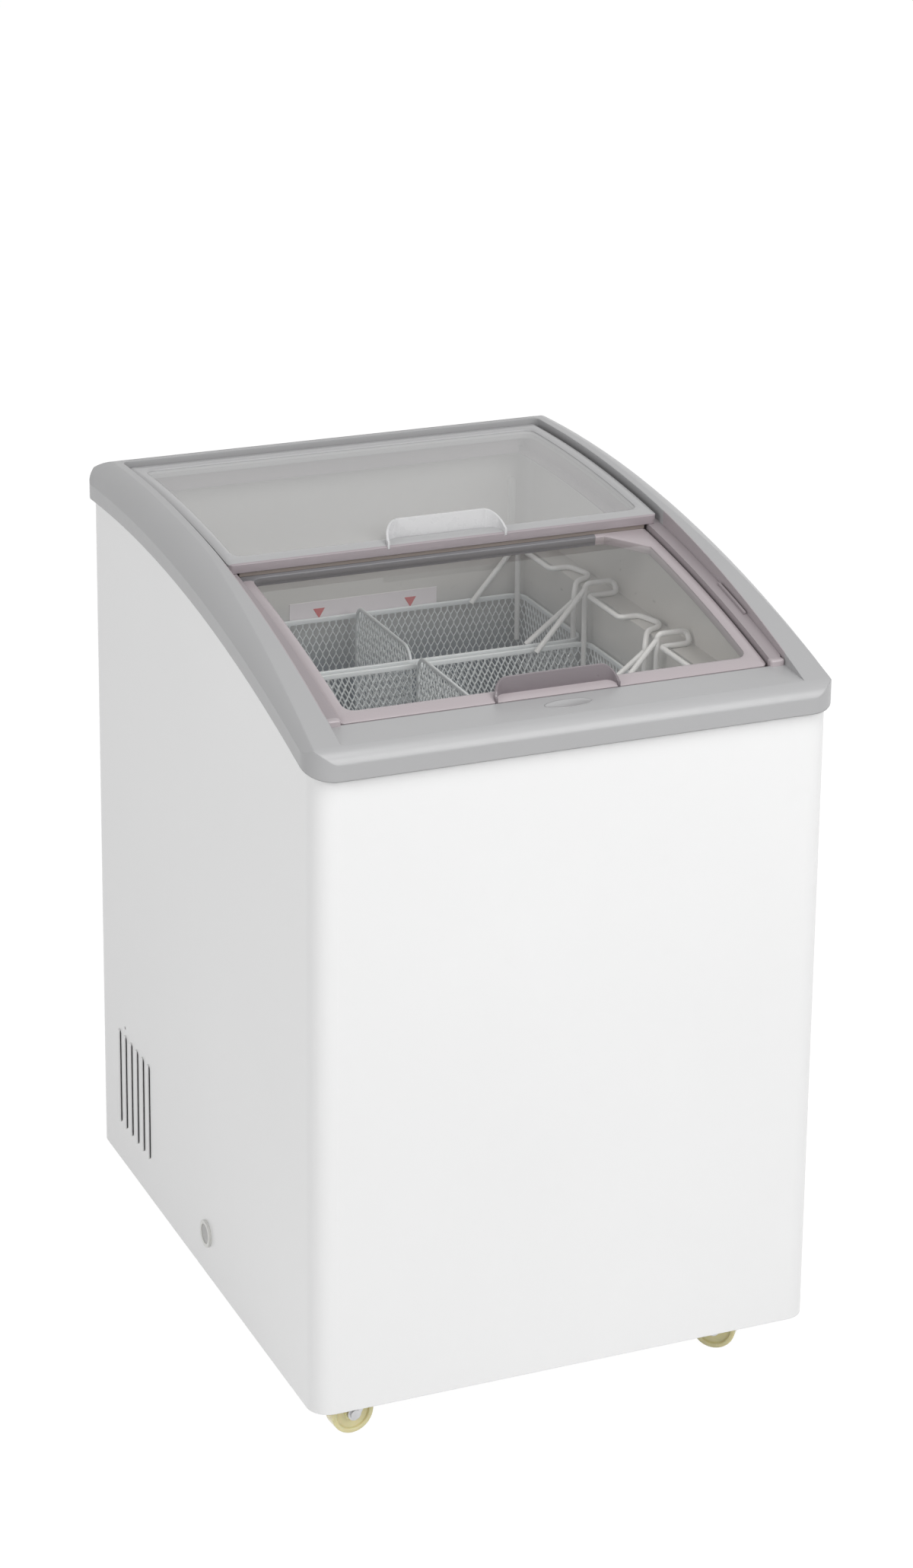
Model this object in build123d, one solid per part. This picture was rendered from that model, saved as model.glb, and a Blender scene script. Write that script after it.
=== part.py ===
from build123d import *
import math
import os

os.makedirs("parts", exist_ok=True)

# Sizes are in millimetres. The floor is z = 0, the front faces -Y and +X is to the right of someone facing it.

# Cabinet
skirt_height = 45.0
cabinet_width = 600.0
cabinet_depth = 740.0
cabinet_corner = 25.0
sheet = 1.0
rear_flange = 15.0
shell_tuck = 9.0
tray_height = 67.0
tray_thickness = 1.5

# The long curve that the collar and the lids follow, seen from the side
curve_rear_inset = 112.0
curve_z = -1158.0
collar_low_radius = 2037.0
lower_ledge_radius = 2042.7
lid_lift = 0.3
lid_thickness = 12.0
lid_spacing = 6.0

# Collar
collar_overhang = 7.0
collar_band = 18.0
collar_wall = 4.0
collar_chamfer_width = 30.0
collar_chamfer_height = 23.0
collar_chamfer_bulge = 4.0
profile_overrun = 7.0
crest_curve_rear_inset = 124.0
crest_curve_z = -835.0
crest_curve_radius = 1756.0
front_crest_inset = 14.0
front_crest_bulge = 2.5
rear_crest_inset = 32.0
opening_side_margin = 32.0
opening_front_margin = 54.0
opening_rear_margin = 22.0
opening_corner = 12.0
groove_width = 2.5
groove_depth = 2.0
groove_pitch = 7.0
groove_count = 2

# Lid tracks and rails
track_wall = 2.5
upper_ledge_width = 16.0
lower_ledge_width = 14.0
front_rail_depth = 14.0
rear_rail_depth = 18.0
strip_length = 65.0
strip_width = 2.8
strip_height = 3.0
strip_setback = 88.0

# Lids
rear_lid_side_gap = 6.0
front_lid_side_gap = 2.0
rear_lid_extra = 16.0
rear_lid_rear_gap = 8.0
front_lid_extra = 2.0
front_lid_front_gap = 4.0
rear_frame_side = 19.0
rear_frame_front = 25.0
rear_frame_rear = 23.0
front_frame_side = 20.0
front_frame_front = 20.0
front_frame_rear = 22.0
lid_corner = 6.0
window_corner = 13.0
glass_thickness = 4.0
glass_drop = 2.5
glass_hold = 7.0
seal_width = 4.0
seal_clearance = 0.3
seal_setback = 4.0

# Scoop handles
handle_width = 146.0
handle_wall = 2.8
handle_shoulder = 20.0
rear_handle_height = 20.0
rear_handle_depth = 25.0
front_handle_height = 18.0
front_handle_depth = 14.0

# Tank
liner_wall = 2.0
tank_side_margin = 68.0
tank_front_inset = 18.0
tank_rear_inset = 46.0
tank_corner = 20.0
ledge_drop = 27.8
upper_tank_side_gap = 6.0
upper_tank_end_gap = 2.0
tank_floor = 135.0
step_height = 300.0
step_rear_inset = 270.0

# Compressor compartment
compartment_depth = 220.0
compartment_top = 240.0
bulkhead_sheet = 0.8

# Baskets, dividers and hangers
basket_count = 3
basket_side_gap = 4.0
basket_spacing = 12.0
basket_rear_gap = 8.0
basket_front_gap = 22.0
basket_depth = 200.0
basket_rim_drop = 59.0
basket_wall = 2.0
basket_rim_band = 12.0
basket_rim_width = 3.5
basket_corner = 18.0
wire = 5.5
hook_length = 25.0
hook_end_gap = 3.0
hook_bend = 6.0
hook_rest_gap = 0.3
hanger_drop = 60.0
brace_foot_inset = 71.0
divider_x = 8.0
divider_thickness = 4.0
divider_rise = 13.0
divider_gap = 1.0
divider_corner = 22.0
divider_rest_gap = 0.3

# Castors
castor_side_inset = 75.0
castor_end_inset = 40.0
castor_trail = 20.0
wheel_radius = 25.0
wheel_width = 20.0
wheel_edge = 3.0
plate_size = 50.0
plate_thickness = 2.5
race_radius = 17.0
race_depth = 2.5
swivel_gap = 0.3
kingpin_radius = 4.0
running_gap = 0.05
fork_sheet = 2.5
fork_wheel_gap = 1.0
fork_half_width = 13.0
axle_radius = 3.0
axle_head_radius = 5.5
axle_head = 2.5
axle_boss_radius = 8.0
screw_radius = 2.5
screw_head_radius = 4.5
screw_head = 2.5
screw_spacing = 38.0
front_left_heading = (-1.0, -0.09)
front_right_heading = (-0.77, 0.64)
rear_left_heading = (-1.0, -0.09)
rear_right_heading = (-0.77, 0.64)

# Louvre slots and screw hole in the left side
vent_count = 6
vent_rear_inset = 82.0
vent_pitch = 21.6
vent_width = 8.0
vent_low = 97.0
vent_high = 218.0
side_hole_rear_inset = 102.0
side_hole_z = 229.0
side_hole_radius = 2.0

# Drain
drain_y = -24.0
drain_z = 97.0
drain_inlet_inset = 52.0
drain_tube_radius = 11.0
drain_bore_radius = 8.0
drain_bend = 14.0
drain_ring_radius = 16.0
drain_ring_thickness = 3.0
plug_gap = 0.1
plug_head_radius = 17.0
plug_head = 4.0
plug_stem = 12.0
cap_head_radius = 11.5
cap_head = 2.0
cap_stem = 15.0

# Rear grille, gland and thermostat
grille_side_inset = 90.0
grille_low = 80.0
grille_high = 236.0
grille_sheet = 1.2
grille_margin = 12.0
grille_slot_length = 120.0
grille_slot_height = 5.0
grille_slot_pitch = 13.0
grille_slot_rows = 9
grille_slot_columns = 2
grille_slot_spacing = 140.0
gland_side_inset = 68.0
gland_z = 150.0
gland_bore_radius = 3.75
gland_neck_radius = 7.0
gland_neck_length = 11.0
gland_flange_radius = 11.0
gland_flange = 3.0
knob_side_inset = 125.0
knob_z = 205.0
knob_radius = 12.0
knob_height = 4.5
knob_shaft_radius = 3.0
knob_shaft = 14.0
knob_slot_width = 2.0
knob_slot_depth = 1.5
thermostat_size = 36.0
thermostat_depth = 28.0

# Cooling parts
coil_radius = 4.0
coil_riser_radius = 3.0
coil_low = 340.0
coil_top_drop = 32.0
coil_count = 6
coil_wall_gap = 0.2
skin_tube_radius = 2.5
skin_tube_low = 300.0
skin_tube_high = 680.0
skin_tube_pitch = 60.0
skin_tube_runs = 9
skin_tube_bend = 20.0
compressor_x = 60.0
compressor_rear_inset = 108.0
compressor_radius = 68.0
compressor_height = 128.0
compressor_dome = 30.0
compressor_foot_thickness = 3.0
compressor_foot_width = 170.0
compressor_foot_depth = 120.0
grommet_radius = 9.0
grommet_height = 14.0
relay_width = 24.0
relay_depth = 44.0
relay_height = 50.0
drier_side_inset = 110.0
drier_rear_inset = 120.0
drier_radius = 9.0
drier_length = 90.0
pipe_radius = 3.2
pipe_bend = 14.0

# Small parts on the tank's back wall
sensor_side_inset = 33.0
sensor_width = 8.0
sensor_depth = 6.0
sensor_length = 74.0
load_strip_left = -74.0
load_strip_right = 118.0
load_strip_low = 706.0
load_strip_high = 731.0
load_strip_thickness = 0.8
load_mark_left = -36.0
load_mark_right = 83.0
load_mark_size = 12.0
load_mark_thickness = 0.4

# Places that follow from the sizes above
half_width = cabinet_width / 2
front = -cabinet_depth / 2
rear = cabinet_depth / 2
curve_y = rear - curve_rear_inset
crest_curve_y = rear - crest_curve_rear_inset
opening_half_width = half_width - opening_side_margin
opening_front = front + opening_front_margin
opening_rear = rear - opening_rear_margin
half_opening = (opening_rear - opening_front) / 2
upper_ledge_radius = lower_ledge_radius + lid_thickness + lid_spacing
front_lid_bottom = lower_ledge_radius + lid_lift
front_lid_top = front_lid_bottom + lid_thickness
rear_lid_bottom = upper_ledge_radius + lid_lift
rear_lid_top = rear_lid_bottom + lid_thickness
rear_lid_half_width = opening_half_width - rear_lid_side_gap
riser_x = opening_half_width - upper_ledge_width
front_lid_half_width = riser_x - front_lid_side_gap
lower_ledge_edge = riser_x - lower_ledge_width
rear_lid_rear = opening_rear - rear_lid_rear_gap
rear_lid_front = rear_lid_rear - half_opening - rear_lid_extra
front_lid_front = opening_front + front_lid_front_gap
front_lid_rear = front_lid_front + half_opening + front_lid_extra
liner_top_radius = lower_ledge_radius - track_wall
liner_rise = math.sqrt(liner_top_radius ** 2 - (opening_front - curve_y) ** 2)
ledge_height = curve_z + liner_rise - ledge_drop
tank_half_width = half_width - tank_side_margin
tank_front = opening_front + tank_front_inset
tank_rear = opening_rear - tank_rear_inset
step_y = rear - step_rear_inset
compartment_front = rear - compartment_depth
compressor_y = rear - compressor_rear_inset
drier_x = drier_side_inset - half_width
drier_y = rear - drier_rear_inset
basket_half_width = tank_half_width - basket_side_gap
basket_room = tank_rear - tank_front - basket_rear_gap - basket_front_gap + basket_spacing
basket_pitch = basket_room / basket_count
basket_length = basket_pitch - basket_spacing
basket_rim_height = ledge_height - basket_rim_drop
hook_reach = opening_half_width - upper_tank_side_gap - hook_end_gap
brace_foot = basket_half_width - brace_foot_inset
castor_x = half_width - castor_side_inset
castor_y = rear - castor_end_inset
vent_rear_y = rear - vent_rear_inset
side_hole_y = rear - side_hole_rear_inset
drain_inlet_x = drain_inlet_inset - tank_half_width
grille_half_width = half_width - grille_side_inset
gland_x = gland_side_inset - half_width
knob_x = half_width - knob_side_inset
sensor_x = opening_half_width - sensor_side_inset
sensor_top = ledge_height + sensor_length
tray_top = tray_height + tray_thickness
sky = 1200.0


def block(x_span, y_span, z_span):
    spans = (x_span, y_span, z_span)
    size = [high - low for low, high in spans]
    middle = [(high + low) / 2 for low, high in spans]
    return Pos(*middle) * Box(*size)


def rounded_block(x_span, y_span, z_span, radius):
    width = x_span[1] - x_span[0]
    depth = y_span[1] - y_span[0]
    middle_x = (x_span[0] + x_span[1]) / 2
    middle_y = (y_span[0] + y_span[1]) / 2
    plan = Pos(middle_x, middle_y, z_span[0]) * RectangleRounded(width, depth, radius)
    return extrude(plan, amount=z_span[1] - z_span[0], dir=(0, 0, 1))


def wide(half):
    return (-half, half)


def curve_height(y, radius):
    return curve_z + math.sqrt(radius ** 2 - (y - curve_y) ** 2)


def crest_height(y):
    return crest_curve_z + math.sqrt(crest_curve_radius ** 2 - (y - crest_curve_y) ** 2)


def curve_point(x, radius, angle):
    return (x, curve_y + radius * math.sin(angle), curve_z + radius * math.cos(angle))


def curve_angle(y, radius):
    return math.asin((y - curve_y) / radius)


def drum(radius):
    # everything nearer than radius to the lids' far axis
    return Pos(0, curve_y, curve_z) * Rot(0, 90, 0) * Cylinder(radius, 2 * cabinet_width)


def longer_arc(start, middle, stop):
    # the arc through three points of a flat profile, drawn on a little past its start
    first = (middle[0] - start[0], middle[1] - start[1])
    last = (stop[0] - start[0], stop[1] - start[1])
    cross = 2 * (first[0] * last[1] - first[1] * last[0])
    first_square = first[0] ** 2 + first[1] ** 2
    last_square = last[0] ** 2 + last[1] ** 2
    centre_u = start[0] + (last[1] * first_square - first[1] * last_square) / cross
    centre_v = start[1] + (first[0] * last_square - last[0] * first_square) / cross
    turn = -math.copysign(math.radians(profile_overrun), cross)
    u = start[0] - centre_u
    v = start[1] - centre_v
    beyond_u = centre_u + u * math.cos(turn) - v * math.sin(turn)
    beyond_v = centre_v + u * math.sin(turn) + v * math.cos(turn)
    return (beyond_u, beyond_v), middle, stop


def turned_about_curve(face):
    # a profile that stands above the lids' far axis, turned about it to past the cabinet's front and back
    axis = Axis((0, curve_y, curve_z), (1, 0, 0))
    past_rear = math.degrees(curve_angle(rear + 2 * cabinet_corner, collar_low_radius))
    past_front = math.degrees(curve_angle(front - 2 * cabinet_corner, collar_low_radius))
    return revolve(face.rotate(axis, -past_rear), axis, past_rear - past_front)


def curved_slab(x_span, radius_span, y_span):
    # a slab that follows the lids' curve between two y places, measured at its top
    low, high = radius_span
    start = curve_angle(y_span[0], high)
    stop = curve_angle(y_span[1], high)
    middle = (start + stop) / 2
    x = x_span[0]
    top = ThreePointArc(curve_point(x, high, start), curve_point(x, high, middle), curve_point(x, high, stop))
    bottom = ThreePointArc(curve_point(x, low, stop), curve_point(x, low, middle), curve_point(x, low, start))
    edges = [top, Line(top @ 1, bottom @ 0), bottom, Line(bottom @ 1, top @ 0)]
    return extrude(Face(Wire(edges)), amount=x_span[1] - x_span[0], dir=(1, 0, 0))


def tube_along(points, bends, radius):
    path = FilletPolyline(*points, radius=bends)
    profile = Plane(path @ 0, z_dir=path % 0) * Circle(radius)
    return sweep(profile, path=path)


def rod(start, stop, radius):
    path = Line(start, stop)
    profile = Plane(path @ 0, z_dir=path % 0) * Circle(radius)
    return sweep(profile, path=path)


def upright(x, y, z_span, radius):
    return Pos(x, y, (z_span[0] + z_span[1]) / 2) * Cylinder(radius, z_span[1] - z_span[0])


def along_y(x, y_span, z, radius):
    middle = (y_span[0] + y_span[1]) / 2
    return Pos(x, middle, z) * Rot(90, 0, 0) * Cylinder(radius, y_span[1] - y_span[0])


def along_x(x_span, y, z, radius):
    middle = (x_span[0] + x_span[1]) / 2
    return Pos(middle, y, z) * Rot(0, 90, 0) * Cylinder(radius, x_span[1] - x_span[0])


def save(shape, node):
    export_step(shape, "parts/" + node + ".step")


def louvre_slots():
    slots = []
    radius = vent_width / 2
    x_span = (-half_width - sheet, -half_width + 2 * sheet)
    for index in range(vent_count):
        y = vent_rear_y - index * vent_pitch
        slots.append(block(x_span, (y - radius, y + radius), (vent_low + radius, vent_high - radius)))
        slots.append(along_x(x_span, y, vent_low + radius, radius))
        slots.append(along_x(x_span, y, vent_high - radius, radius))
    slots.append(along_x(x_span, side_hole_y, side_hole_z, side_hole_radius))
    slots.append(along_x(x_span, drain_y, drain_z, drain_tube_radius))
    return slots


def inside_shell(z_span):
    # the space inside the wrapped sheet, up to the back panel
    plan = rounded_block(
        wide(half_width - sheet),
        (front + sheet, rear - sheet),
        z_span,
        cabinet_corner - sheet,
    )
    return plan & block(wide(half_width), (front, rear - 2 * sheet), z_span)


def cabinet_shell():
    outer = rounded_block(wide(half_width), (front, rear), (skirt_height, sky), cabinet_corner)
    inner_span = (front + sheet, rear - sheet)
    inner = rounded_block(wide(half_width - sheet), inner_span, (0, sky), cabinet_corner - sheet)
    shell = outer - inner
    back_window = half_width - cabinet_corner - rear_flange
    shell -= block(wide(back_window), (rear - 2 * sheet, rear + sheet), (0, sky))
    for slot in louvre_slots():
        shell -= slot
    return shell & drum(collar_low_radius + shell_tuck)


def back_panel():
    x_span = wide(half_width - cabinet_corner)
    panel = block(x_span, (rear - 2 * sheet, rear - sheet), (skirt_height, sky))
    panel &= drum(collar_low_radius + shell_tuck)
    window_half = grille_half_width - grille_margin
    window = (grille_low + grille_margin, grille_high - grille_margin)
    panel -= block(wide(window_half), (rear - 3 * sheet, rear), window)
    return panel - along_y(gland_x, (rear - 3 * sheet, rear), gland_z, gland_neck_radius)


def rear_grille():
    back = rear - sheet
    grille = block(wide(grille_half_width), (back, back + grille_sheet), (grille_low, grille_high))
    first_x = -grille_slot_spacing * (grille_slot_columns - 1) / 2 - grille_slot_length / 2
    first_z = (grille_low + grille_high) / 2 - grille_slot_pitch * (grille_slot_rows - 1) / 2
    cut_depth = (back - sheet, back + 2 * grille_sheet)
    for column in range(grille_slot_columns):
        low_x = first_x + column * grille_slot_spacing
        for row in range(grille_slot_rows):
            z = first_z + row * grille_slot_pitch
            z_span = (z - grille_slot_height / 2, z + grille_slot_height / 2)
            grille -= block((low_x, low_x + grille_slot_length), cut_depth, z_span)
    return grille - along_y(knob_x, cut_depth, knob_z, knob_shaft_radius + grille_sheet)


def grille_screws():
    face = rear - sheet + grille_sheet
    screws = []
    for x in wide(grille_half_width - grille_margin / 2):
        for z in (grille_low + grille_margin / 2, grille_high - grille_margin / 2):
            screws.append(along_y(x, (face, face + screw_head / 2), z, screw_head_radius))
    return Compound(children=screws)


def base_tray():
    tray = inside_shell((tray_height, tray_top))
    for x, y in castor_places():
        for dx, dy in screw_offsets():
            tray -= upright(x + dx, y + dy, (0, tray_top + sheet), screw_radius)
        tray -= upright(x, y, (0, tray_top + sheet), kingpin_radius + sheet)
    return tray


def collar_side_face(inset, drop, x):
    # the collar's outline seen from the side, from its front band over the crest to the rear band
    edge = collar_overhang - inset
    front_y = front - edge
    rear_y = rear + edge
    foot = curve_height(front, collar_low_radius) - 4 * cabinet_corner
    front_top = curve_height(front - collar_overhang, collar_low_radius) + collar_band - drop
    rear_top = curve_height(rear, collar_low_radius) + collar_band - drop
    crest_front = front_y + front_crest_inset
    crest_rear = rear_y - rear_crest_inset
    crest_middle = (crest_front + crest_rear) / 2

    def on_crest(y):
        return (y, crest_height(y) - drop)

    def drawn(points):
        return ThreePointArc(*[(x, y, z) for y, z in points])

    nose = front_crest_bulge / math.sqrt(2)
    shoulder = 2 * collar_chamfer_bulge / math.sqrt(2)
    front_middle = ((front_y + crest_front) / 2 - nose, (front_top + on_crest(crest_front)[1]) / 2 + nose)
    rear_middle = ((rear_y + crest_rear) / 2 + shoulder, (rear_top + on_crest(crest_rear)[1]) / 2 + shoulder)
    front_arc = drawn(longer_arc((front_y, front_top), front_middle, on_crest(crest_front)))
    crest_arc = drawn([on_crest(crest_front), on_crest(crest_middle), on_crest(crest_rear)])
    rear_arc = drawn(longer_arc((rear_y, rear_top), rear_middle, on_crest(crest_rear)))
    front_foot = ((front_arc @ 0).X, (front_arc @ 0).Y, foot)
    rear_foot = ((rear_arc @ 0).X, (rear_arc @ 0).Y, foot)
    edges = [
        Line(front_foot, front_arc @ 0),
        front_arc,
        crest_arc,
        rear_arc,
        Line(rear_arc @ 0, rear_foot),
        Line(rear_foot, front_foot),
    ]
    return Face(Wire(edges))


def collar_cross_section(inset, drop):
    # the collar's outline seen along the curve, turned about the lids' far axis
    edge = half_width + collar_overhang - inset
    crest_x = edge + inset / 2 - collar_chamfer_width
    band_top = collar_low_radius + collar_band - drop
    crest = band_top + collar_chamfer_height
    foot = collar_low_radius - 4 * cabinet_corner
    bulge = collar_chamfer_bulge / math.sqrt(2)
    middle = ((edge + crest_x) / 2 + bulge, (band_top + crest) / 2 + bulge)
    shoulder = longer_arc((edge, band_top), middle, (crest_x, crest))

    def at(x, radius):
        return (x, curve_y, curve_z + radius)

    right = ThreePointArc(*[at(x, radius) for x, radius in shoulder])
    left = ThreePointArc(*[at(-x, radius) for x, radius in shoulder])
    outer_x = (right @ 0).X
    edges = [
        Line(at(-outer_x, foot), left @ 0),
        left,
        Line(left @ 1, right @ 1),
        right,
        Line(right @ 0, at(outer_x, foot)),
        Line(at(outer_x, foot), at(-outer_x, foot)),
    ]
    return turned_about_curve(Face(Wire(edges)))


def collar_form(inset, drop):
    grow = collar_overhang - inset
    plan = rounded_block(
        wide(half_width + grow),
        (front - grow, rear + grow),
        (skirt_height, sky),
        cabinet_corner + grow,
    )
    side = extrude(collar_side_face(inset, drop, -cabinet_width), amount=2 * cabinet_width, dir=(1, 0, 0))
    return (plan & side & collar_cross_section(inset, drop)) - front_dip(drop)


def opening_block(grow):
    return rounded_block(
        wide(opening_half_width + grow),
        (opening_front - grow, opening_rear + grow),
        (skirt_height, sky),
        opening_corner + grow,
    )


def front_dip(drop):
    # the collar's top falls away in front of the front lid, from the side rails down to the lid's edge
    crest_y = front - collar_overhang + front_crest_inset
    crest = crest_height(crest_y) - drop
    edge = curve_height(opening_front, front_lid_top) + lid_lift - drop
    x = -opening_half_width - drop
    inner_y = opening_front + opening_corner
    corners = [
        (x, crest_y, crest),
        (x, opening_front, edge),
        (x, inner_y, edge),
        (x, inner_y, sky),
        (x, crest_y, sky),
    ]
    face = Face(Wire.make_polygon(corners))
    return extrude(face, amount=-2 * x, dir=(1, 0, 0))


def collar_frame():
    collar = collar_form(0, 0) - drum(collar_low_radius)
    collar -= collar_form(collar_overhang, collar_wall) - opening_block(collar_wall)
    collar -= opening_block(0)
    for index in range(groove_count):
        y = opening_rear + collar_wall + index * groove_pitch
        top = crest_height(y)
        collar -= block(wide(opening_half_width), (y, y + groove_width), (top - groove_depth, sky))
    return collar


def side_track(side):
    # a stepped section: the lower ledge, a riser, the upper ledge, and a wall that runs out past the opening
    wall = track_wall
    lower = lower_ledge_radius
    upper = upper_ledge_radius
    outer = opening_half_width + wall
    section = [
        (lower_ledge_edge, lower - wall),
        (outer, lower - wall),
        (outer, upper),
        (riser_x, upper),
        (riser_x, lower),
        (lower_ledge_edge, lower),
    ]
    hollow = [
        (riser_x + wall, lower),
        (opening_half_width - wall, lower),
        (opening_half_width - wall, upper - wall),
        (riser_x + wall, upper - wall),
    ]

    def turned(points):
        corners = [(side * x, curve_y, curve_z + radius) for x, radius in points]
        return turned_about_curve(Face(Wire.make_polygon(corners)))

    return (turned(section) - turned(hollow)) & opening_block(0)


def cross_rails():
    x_span = wide(lower_ledge_edge)
    front_span = (opening_front, opening_front + front_rail_depth)
    front_rail = curved_slab(x_span, (liner_top_radius, lower_ledge_radius), front_span)
    rear_span = (opening_rear - rear_rail_depth, opening_rear)
    rear_rail = curved_slab(x_span, (liner_top_radius, upper_ledge_radius), rear_span)
    within = opening_block(0)
    return Compound(children=[(front_rail & within).solid(), (rear_rail & within).solid()])


def track_strips():
    outer = opening_half_width - groove_depth
    start = opening_front + strip_setback
    radius_span = (upper_ledge_radius, upper_ledge_radius + strip_height)
    strips = []
    for side in (-1, 1):
        ends = sorted((side * (outer - strip_width), side * outer))
        strips.append(curved_slab(ends, radius_span, (start, start + strip_length)))
    return Compound(children=[strip.solid() for strip in strips])


def lid_frame(half, y_span, radius_span, borders):
    side, low_border, high_border = borders
    window_x = wide(half - side)
    window_y = (y_span[0] + low_border, y_span[1] - high_border)
    frame = curved_slab(wide(half), radius_span, (y_span[0] - lid_corner, y_span[1] + lid_corner))
    frame &= rounded_block(wide(half), y_span, (skirt_height, sky), lid_corner)
    frame -= rounded_block(window_x, window_y, (skirt_height, sky), window_corner)
    return frame - lid_glass(half, y_span, radius_span, borders)


def lid_glass(half, y_span, radius_span, borders):
    side, low_border, high_border = borders
    top = radius_span[1] - glass_drop
    glass_x = wide(half - side + glass_hold)
    glass_y = (y_span[0] + low_border - glass_hold, y_span[1] - high_border + glass_hold)
    return curved_slab(glass_x, (top - glass_thickness, top), glass_y)


def rear_lid_layout():
    radii = (rear_lid_bottom, rear_lid_top)
    borders = (rear_frame_side, rear_frame_front, rear_frame_rear)
    return rear_lid_half_width, (rear_lid_front, rear_lid_rear), radii, borders


def front_lid_layout():
    radii = (front_lid_bottom, front_lid_top)
    borders = (front_frame_side, front_frame_front, front_frame_rear)
    return front_lid_half_width, (front_lid_front, front_lid_rear), radii, borders


def scoop_handle(lid_front, lid_radius, depth, height):
    half = handle_width / 2
    back = lid_front + depth
    foot = curve_height(lid_front, lid_radius) - depth
    top = curve_height(back, lid_radius) + height
    outer = rounded_block(wide(half), (back - handle_width, back), (foot, top), depth)
    inner_half = half - handle_wall
    inner_back = back - handle_wall
    inner = rounded_block(wide(inner_half), (back - handle_width, inner_back), (foot, top), depth - handle_wall)
    wall = outer - inner
    wall &= block(wide(half), (lid_front, back), (foot, top))
    arch = Pos(0, lid_front, top - half) * Rot(90, 0, 0) * RectangleRounded(handle_width, handle_width, handle_shoulder)
    wall &= extrude(arch, amount=2 * depth, both=True)
    return wall - drum(lid_radius)


def lid_seals():
    # each seal closes the gap between the two lids where they overlap
    rear_start = rear_lid_front + seal_setback
    rear_span = (rear_start, rear_start + seal_width)
    rear_seal = curved_slab(
        wide(front_lid_half_width - front_lid_side_gap),
        (front_lid_top + seal_clearance, rear_lid_bottom),
        rear_span,
    )
    front_stop = front_lid_rear - seal_setback
    front_span = (front_stop - seal_width, front_stop)
    front_seal = curved_slab(
        wide(front_lid_half_width - front_lid_side_gap),
        (front_lid_top, rear_lid_bottom - seal_clearance),
        front_span,
    )
    return rear_seal, front_seal


def tank_form(grow):
    # the tank's inner space, or with grow its outer form
    upper_x = wide(opening_half_width - upper_tank_side_gap + grow)
    upper_y = (opening_front + upper_tank_end_gap - grow, opening_rear - upper_tank_end_gap + grow)
    corner = opening_corner - upper_tank_end_gap + grow
    form = rounded_block(upper_x, upper_y, (ledge_height - grow, sky), corner)
    lower_x = wide(tank_half_width + grow)
    lower_y = (tank_front - grow, tank_rear + grow)
    form += rounded_block(lower_x, lower_y, (tank_floor - grow, sky), tank_corner + grow)
    step_span = (step_y + grow, tank_rear + 2 * tank_corner)
    return form - block(wide(cabinet_width), step_span, (0, step_height - grow))


def inner_liner():
    liner = tank_form(liner_wall) - tank_form(0)
    liner -= upright(drain_inlet_x, drain_y, (0, tank_floor + liner_wall), drain_tube_radius)
    return liner & drum(liner_top_radius)


def compartment_space():
    return block(wide(half_width), (compartment_front, rear), (tray_top, compartment_top))


def compressor_bulkhead():
    outer = inside_shell((tray_top, compartment_top + bulkhead_sheet))
    return (outer & bulkhead_outer()) - compartment_space()


def bulkhead_outer():
    y_span = (compartment_front - bulkhead_sheet, rear)
    return block(wide(half_width), y_span, (0, compartment_top + bulkhead_sheet))


def evaporator_tube():
    reach = liner_wall + coil_wall_gap + coil_radius
    corner = tank_corner + reach
    half = tank_half_width + reach
    low_y = tank_front - reach
    high_y = tank_rear + reach
    top = ledge_height - coil_top_drop
    pitch = (top - coil_low) / (coil_count - 1)
    coil = upright(-half, low_y + 2 * corner, (coil_low, top), coil_riser_radius)
    for index in range(coil_count):
        z = coil_low + index * pitch
        outline = Pos(0, (low_y + high_y) / 2, z) * RectangleRounded(2 * half, high_y - low_y, corner)
        path = outline.face().outer_wire()
        profile = Plane(path @ 0, z_dir=path % 0) * Circle(coil_radius)
        coil += sweep(profile, path=path)
    return coil


def condenser_tube():
    x = half_width - sheet - skin_tube_radius
    start = -skin_tube_pitch * (skin_tube_runs - 1) / 2
    solids = []
    for side in (-1, 1):
        points = []
        for run in range(skin_tube_runs):
            y = start + run * skin_tube_pitch
            ends = [skin_tube_low, skin_tube_high]
            if run % 2:
                ends.reverse()
            points += [(side * x, y, z) for z in ends]
        last_y = start + (skin_tube_runs - 1) * skin_tube_pitch
        points[-1] = (side * x, last_y, compartment_top + bulkhead_sheet)
        if skin_tube_runs % 2:
            points.reverse()
            points[0] = (side * x, last_y, compartment_top + bulkhead_sheet)
        solids.append(tube_along(points, skin_tube_bend, skin_tube_radius).solid())
    return Compound(children=solids)


def drain_tube():
    points = [
        (drain_inlet_x, drain_y, tank_floor),
        (drain_inlet_x, drain_y, drain_z),
        (-half_width, drain_y, drain_z),
    ]
    return tube_along(points, drain_bend, drain_tube_radius) - tube_along(points, drain_bend, drain_bore_radius)


def drain_ring():
    x_span = (-half_width - drain_ring_thickness, -half_width)
    ring = along_x(x_span, drain_y, drain_z, drain_ring_radius)
    return ring - along_x(x_span, drain_y, drain_z, cap_head_radius + plug_gap)


def drain_cap():
    head = along_x((-half_width - cap_head, -half_width), drain_y, drain_z, cap_head_radius)
    stem = along_x((-half_width, -half_width + cap_stem), drain_y, drain_z, drain_bore_radius - plug_gap)
    return head + stem


def drain_plug():
    head = upright(drain_inlet_x, drain_y, (tank_floor, tank_floor + plug_head), plug_head_radius)
    stem_span = (tank_floor - plug_stem, tank_floor)
    return head + upright(drain_inlet_x, drain_y, stem_span, drain_bore_radius - plug_gap)


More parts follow.
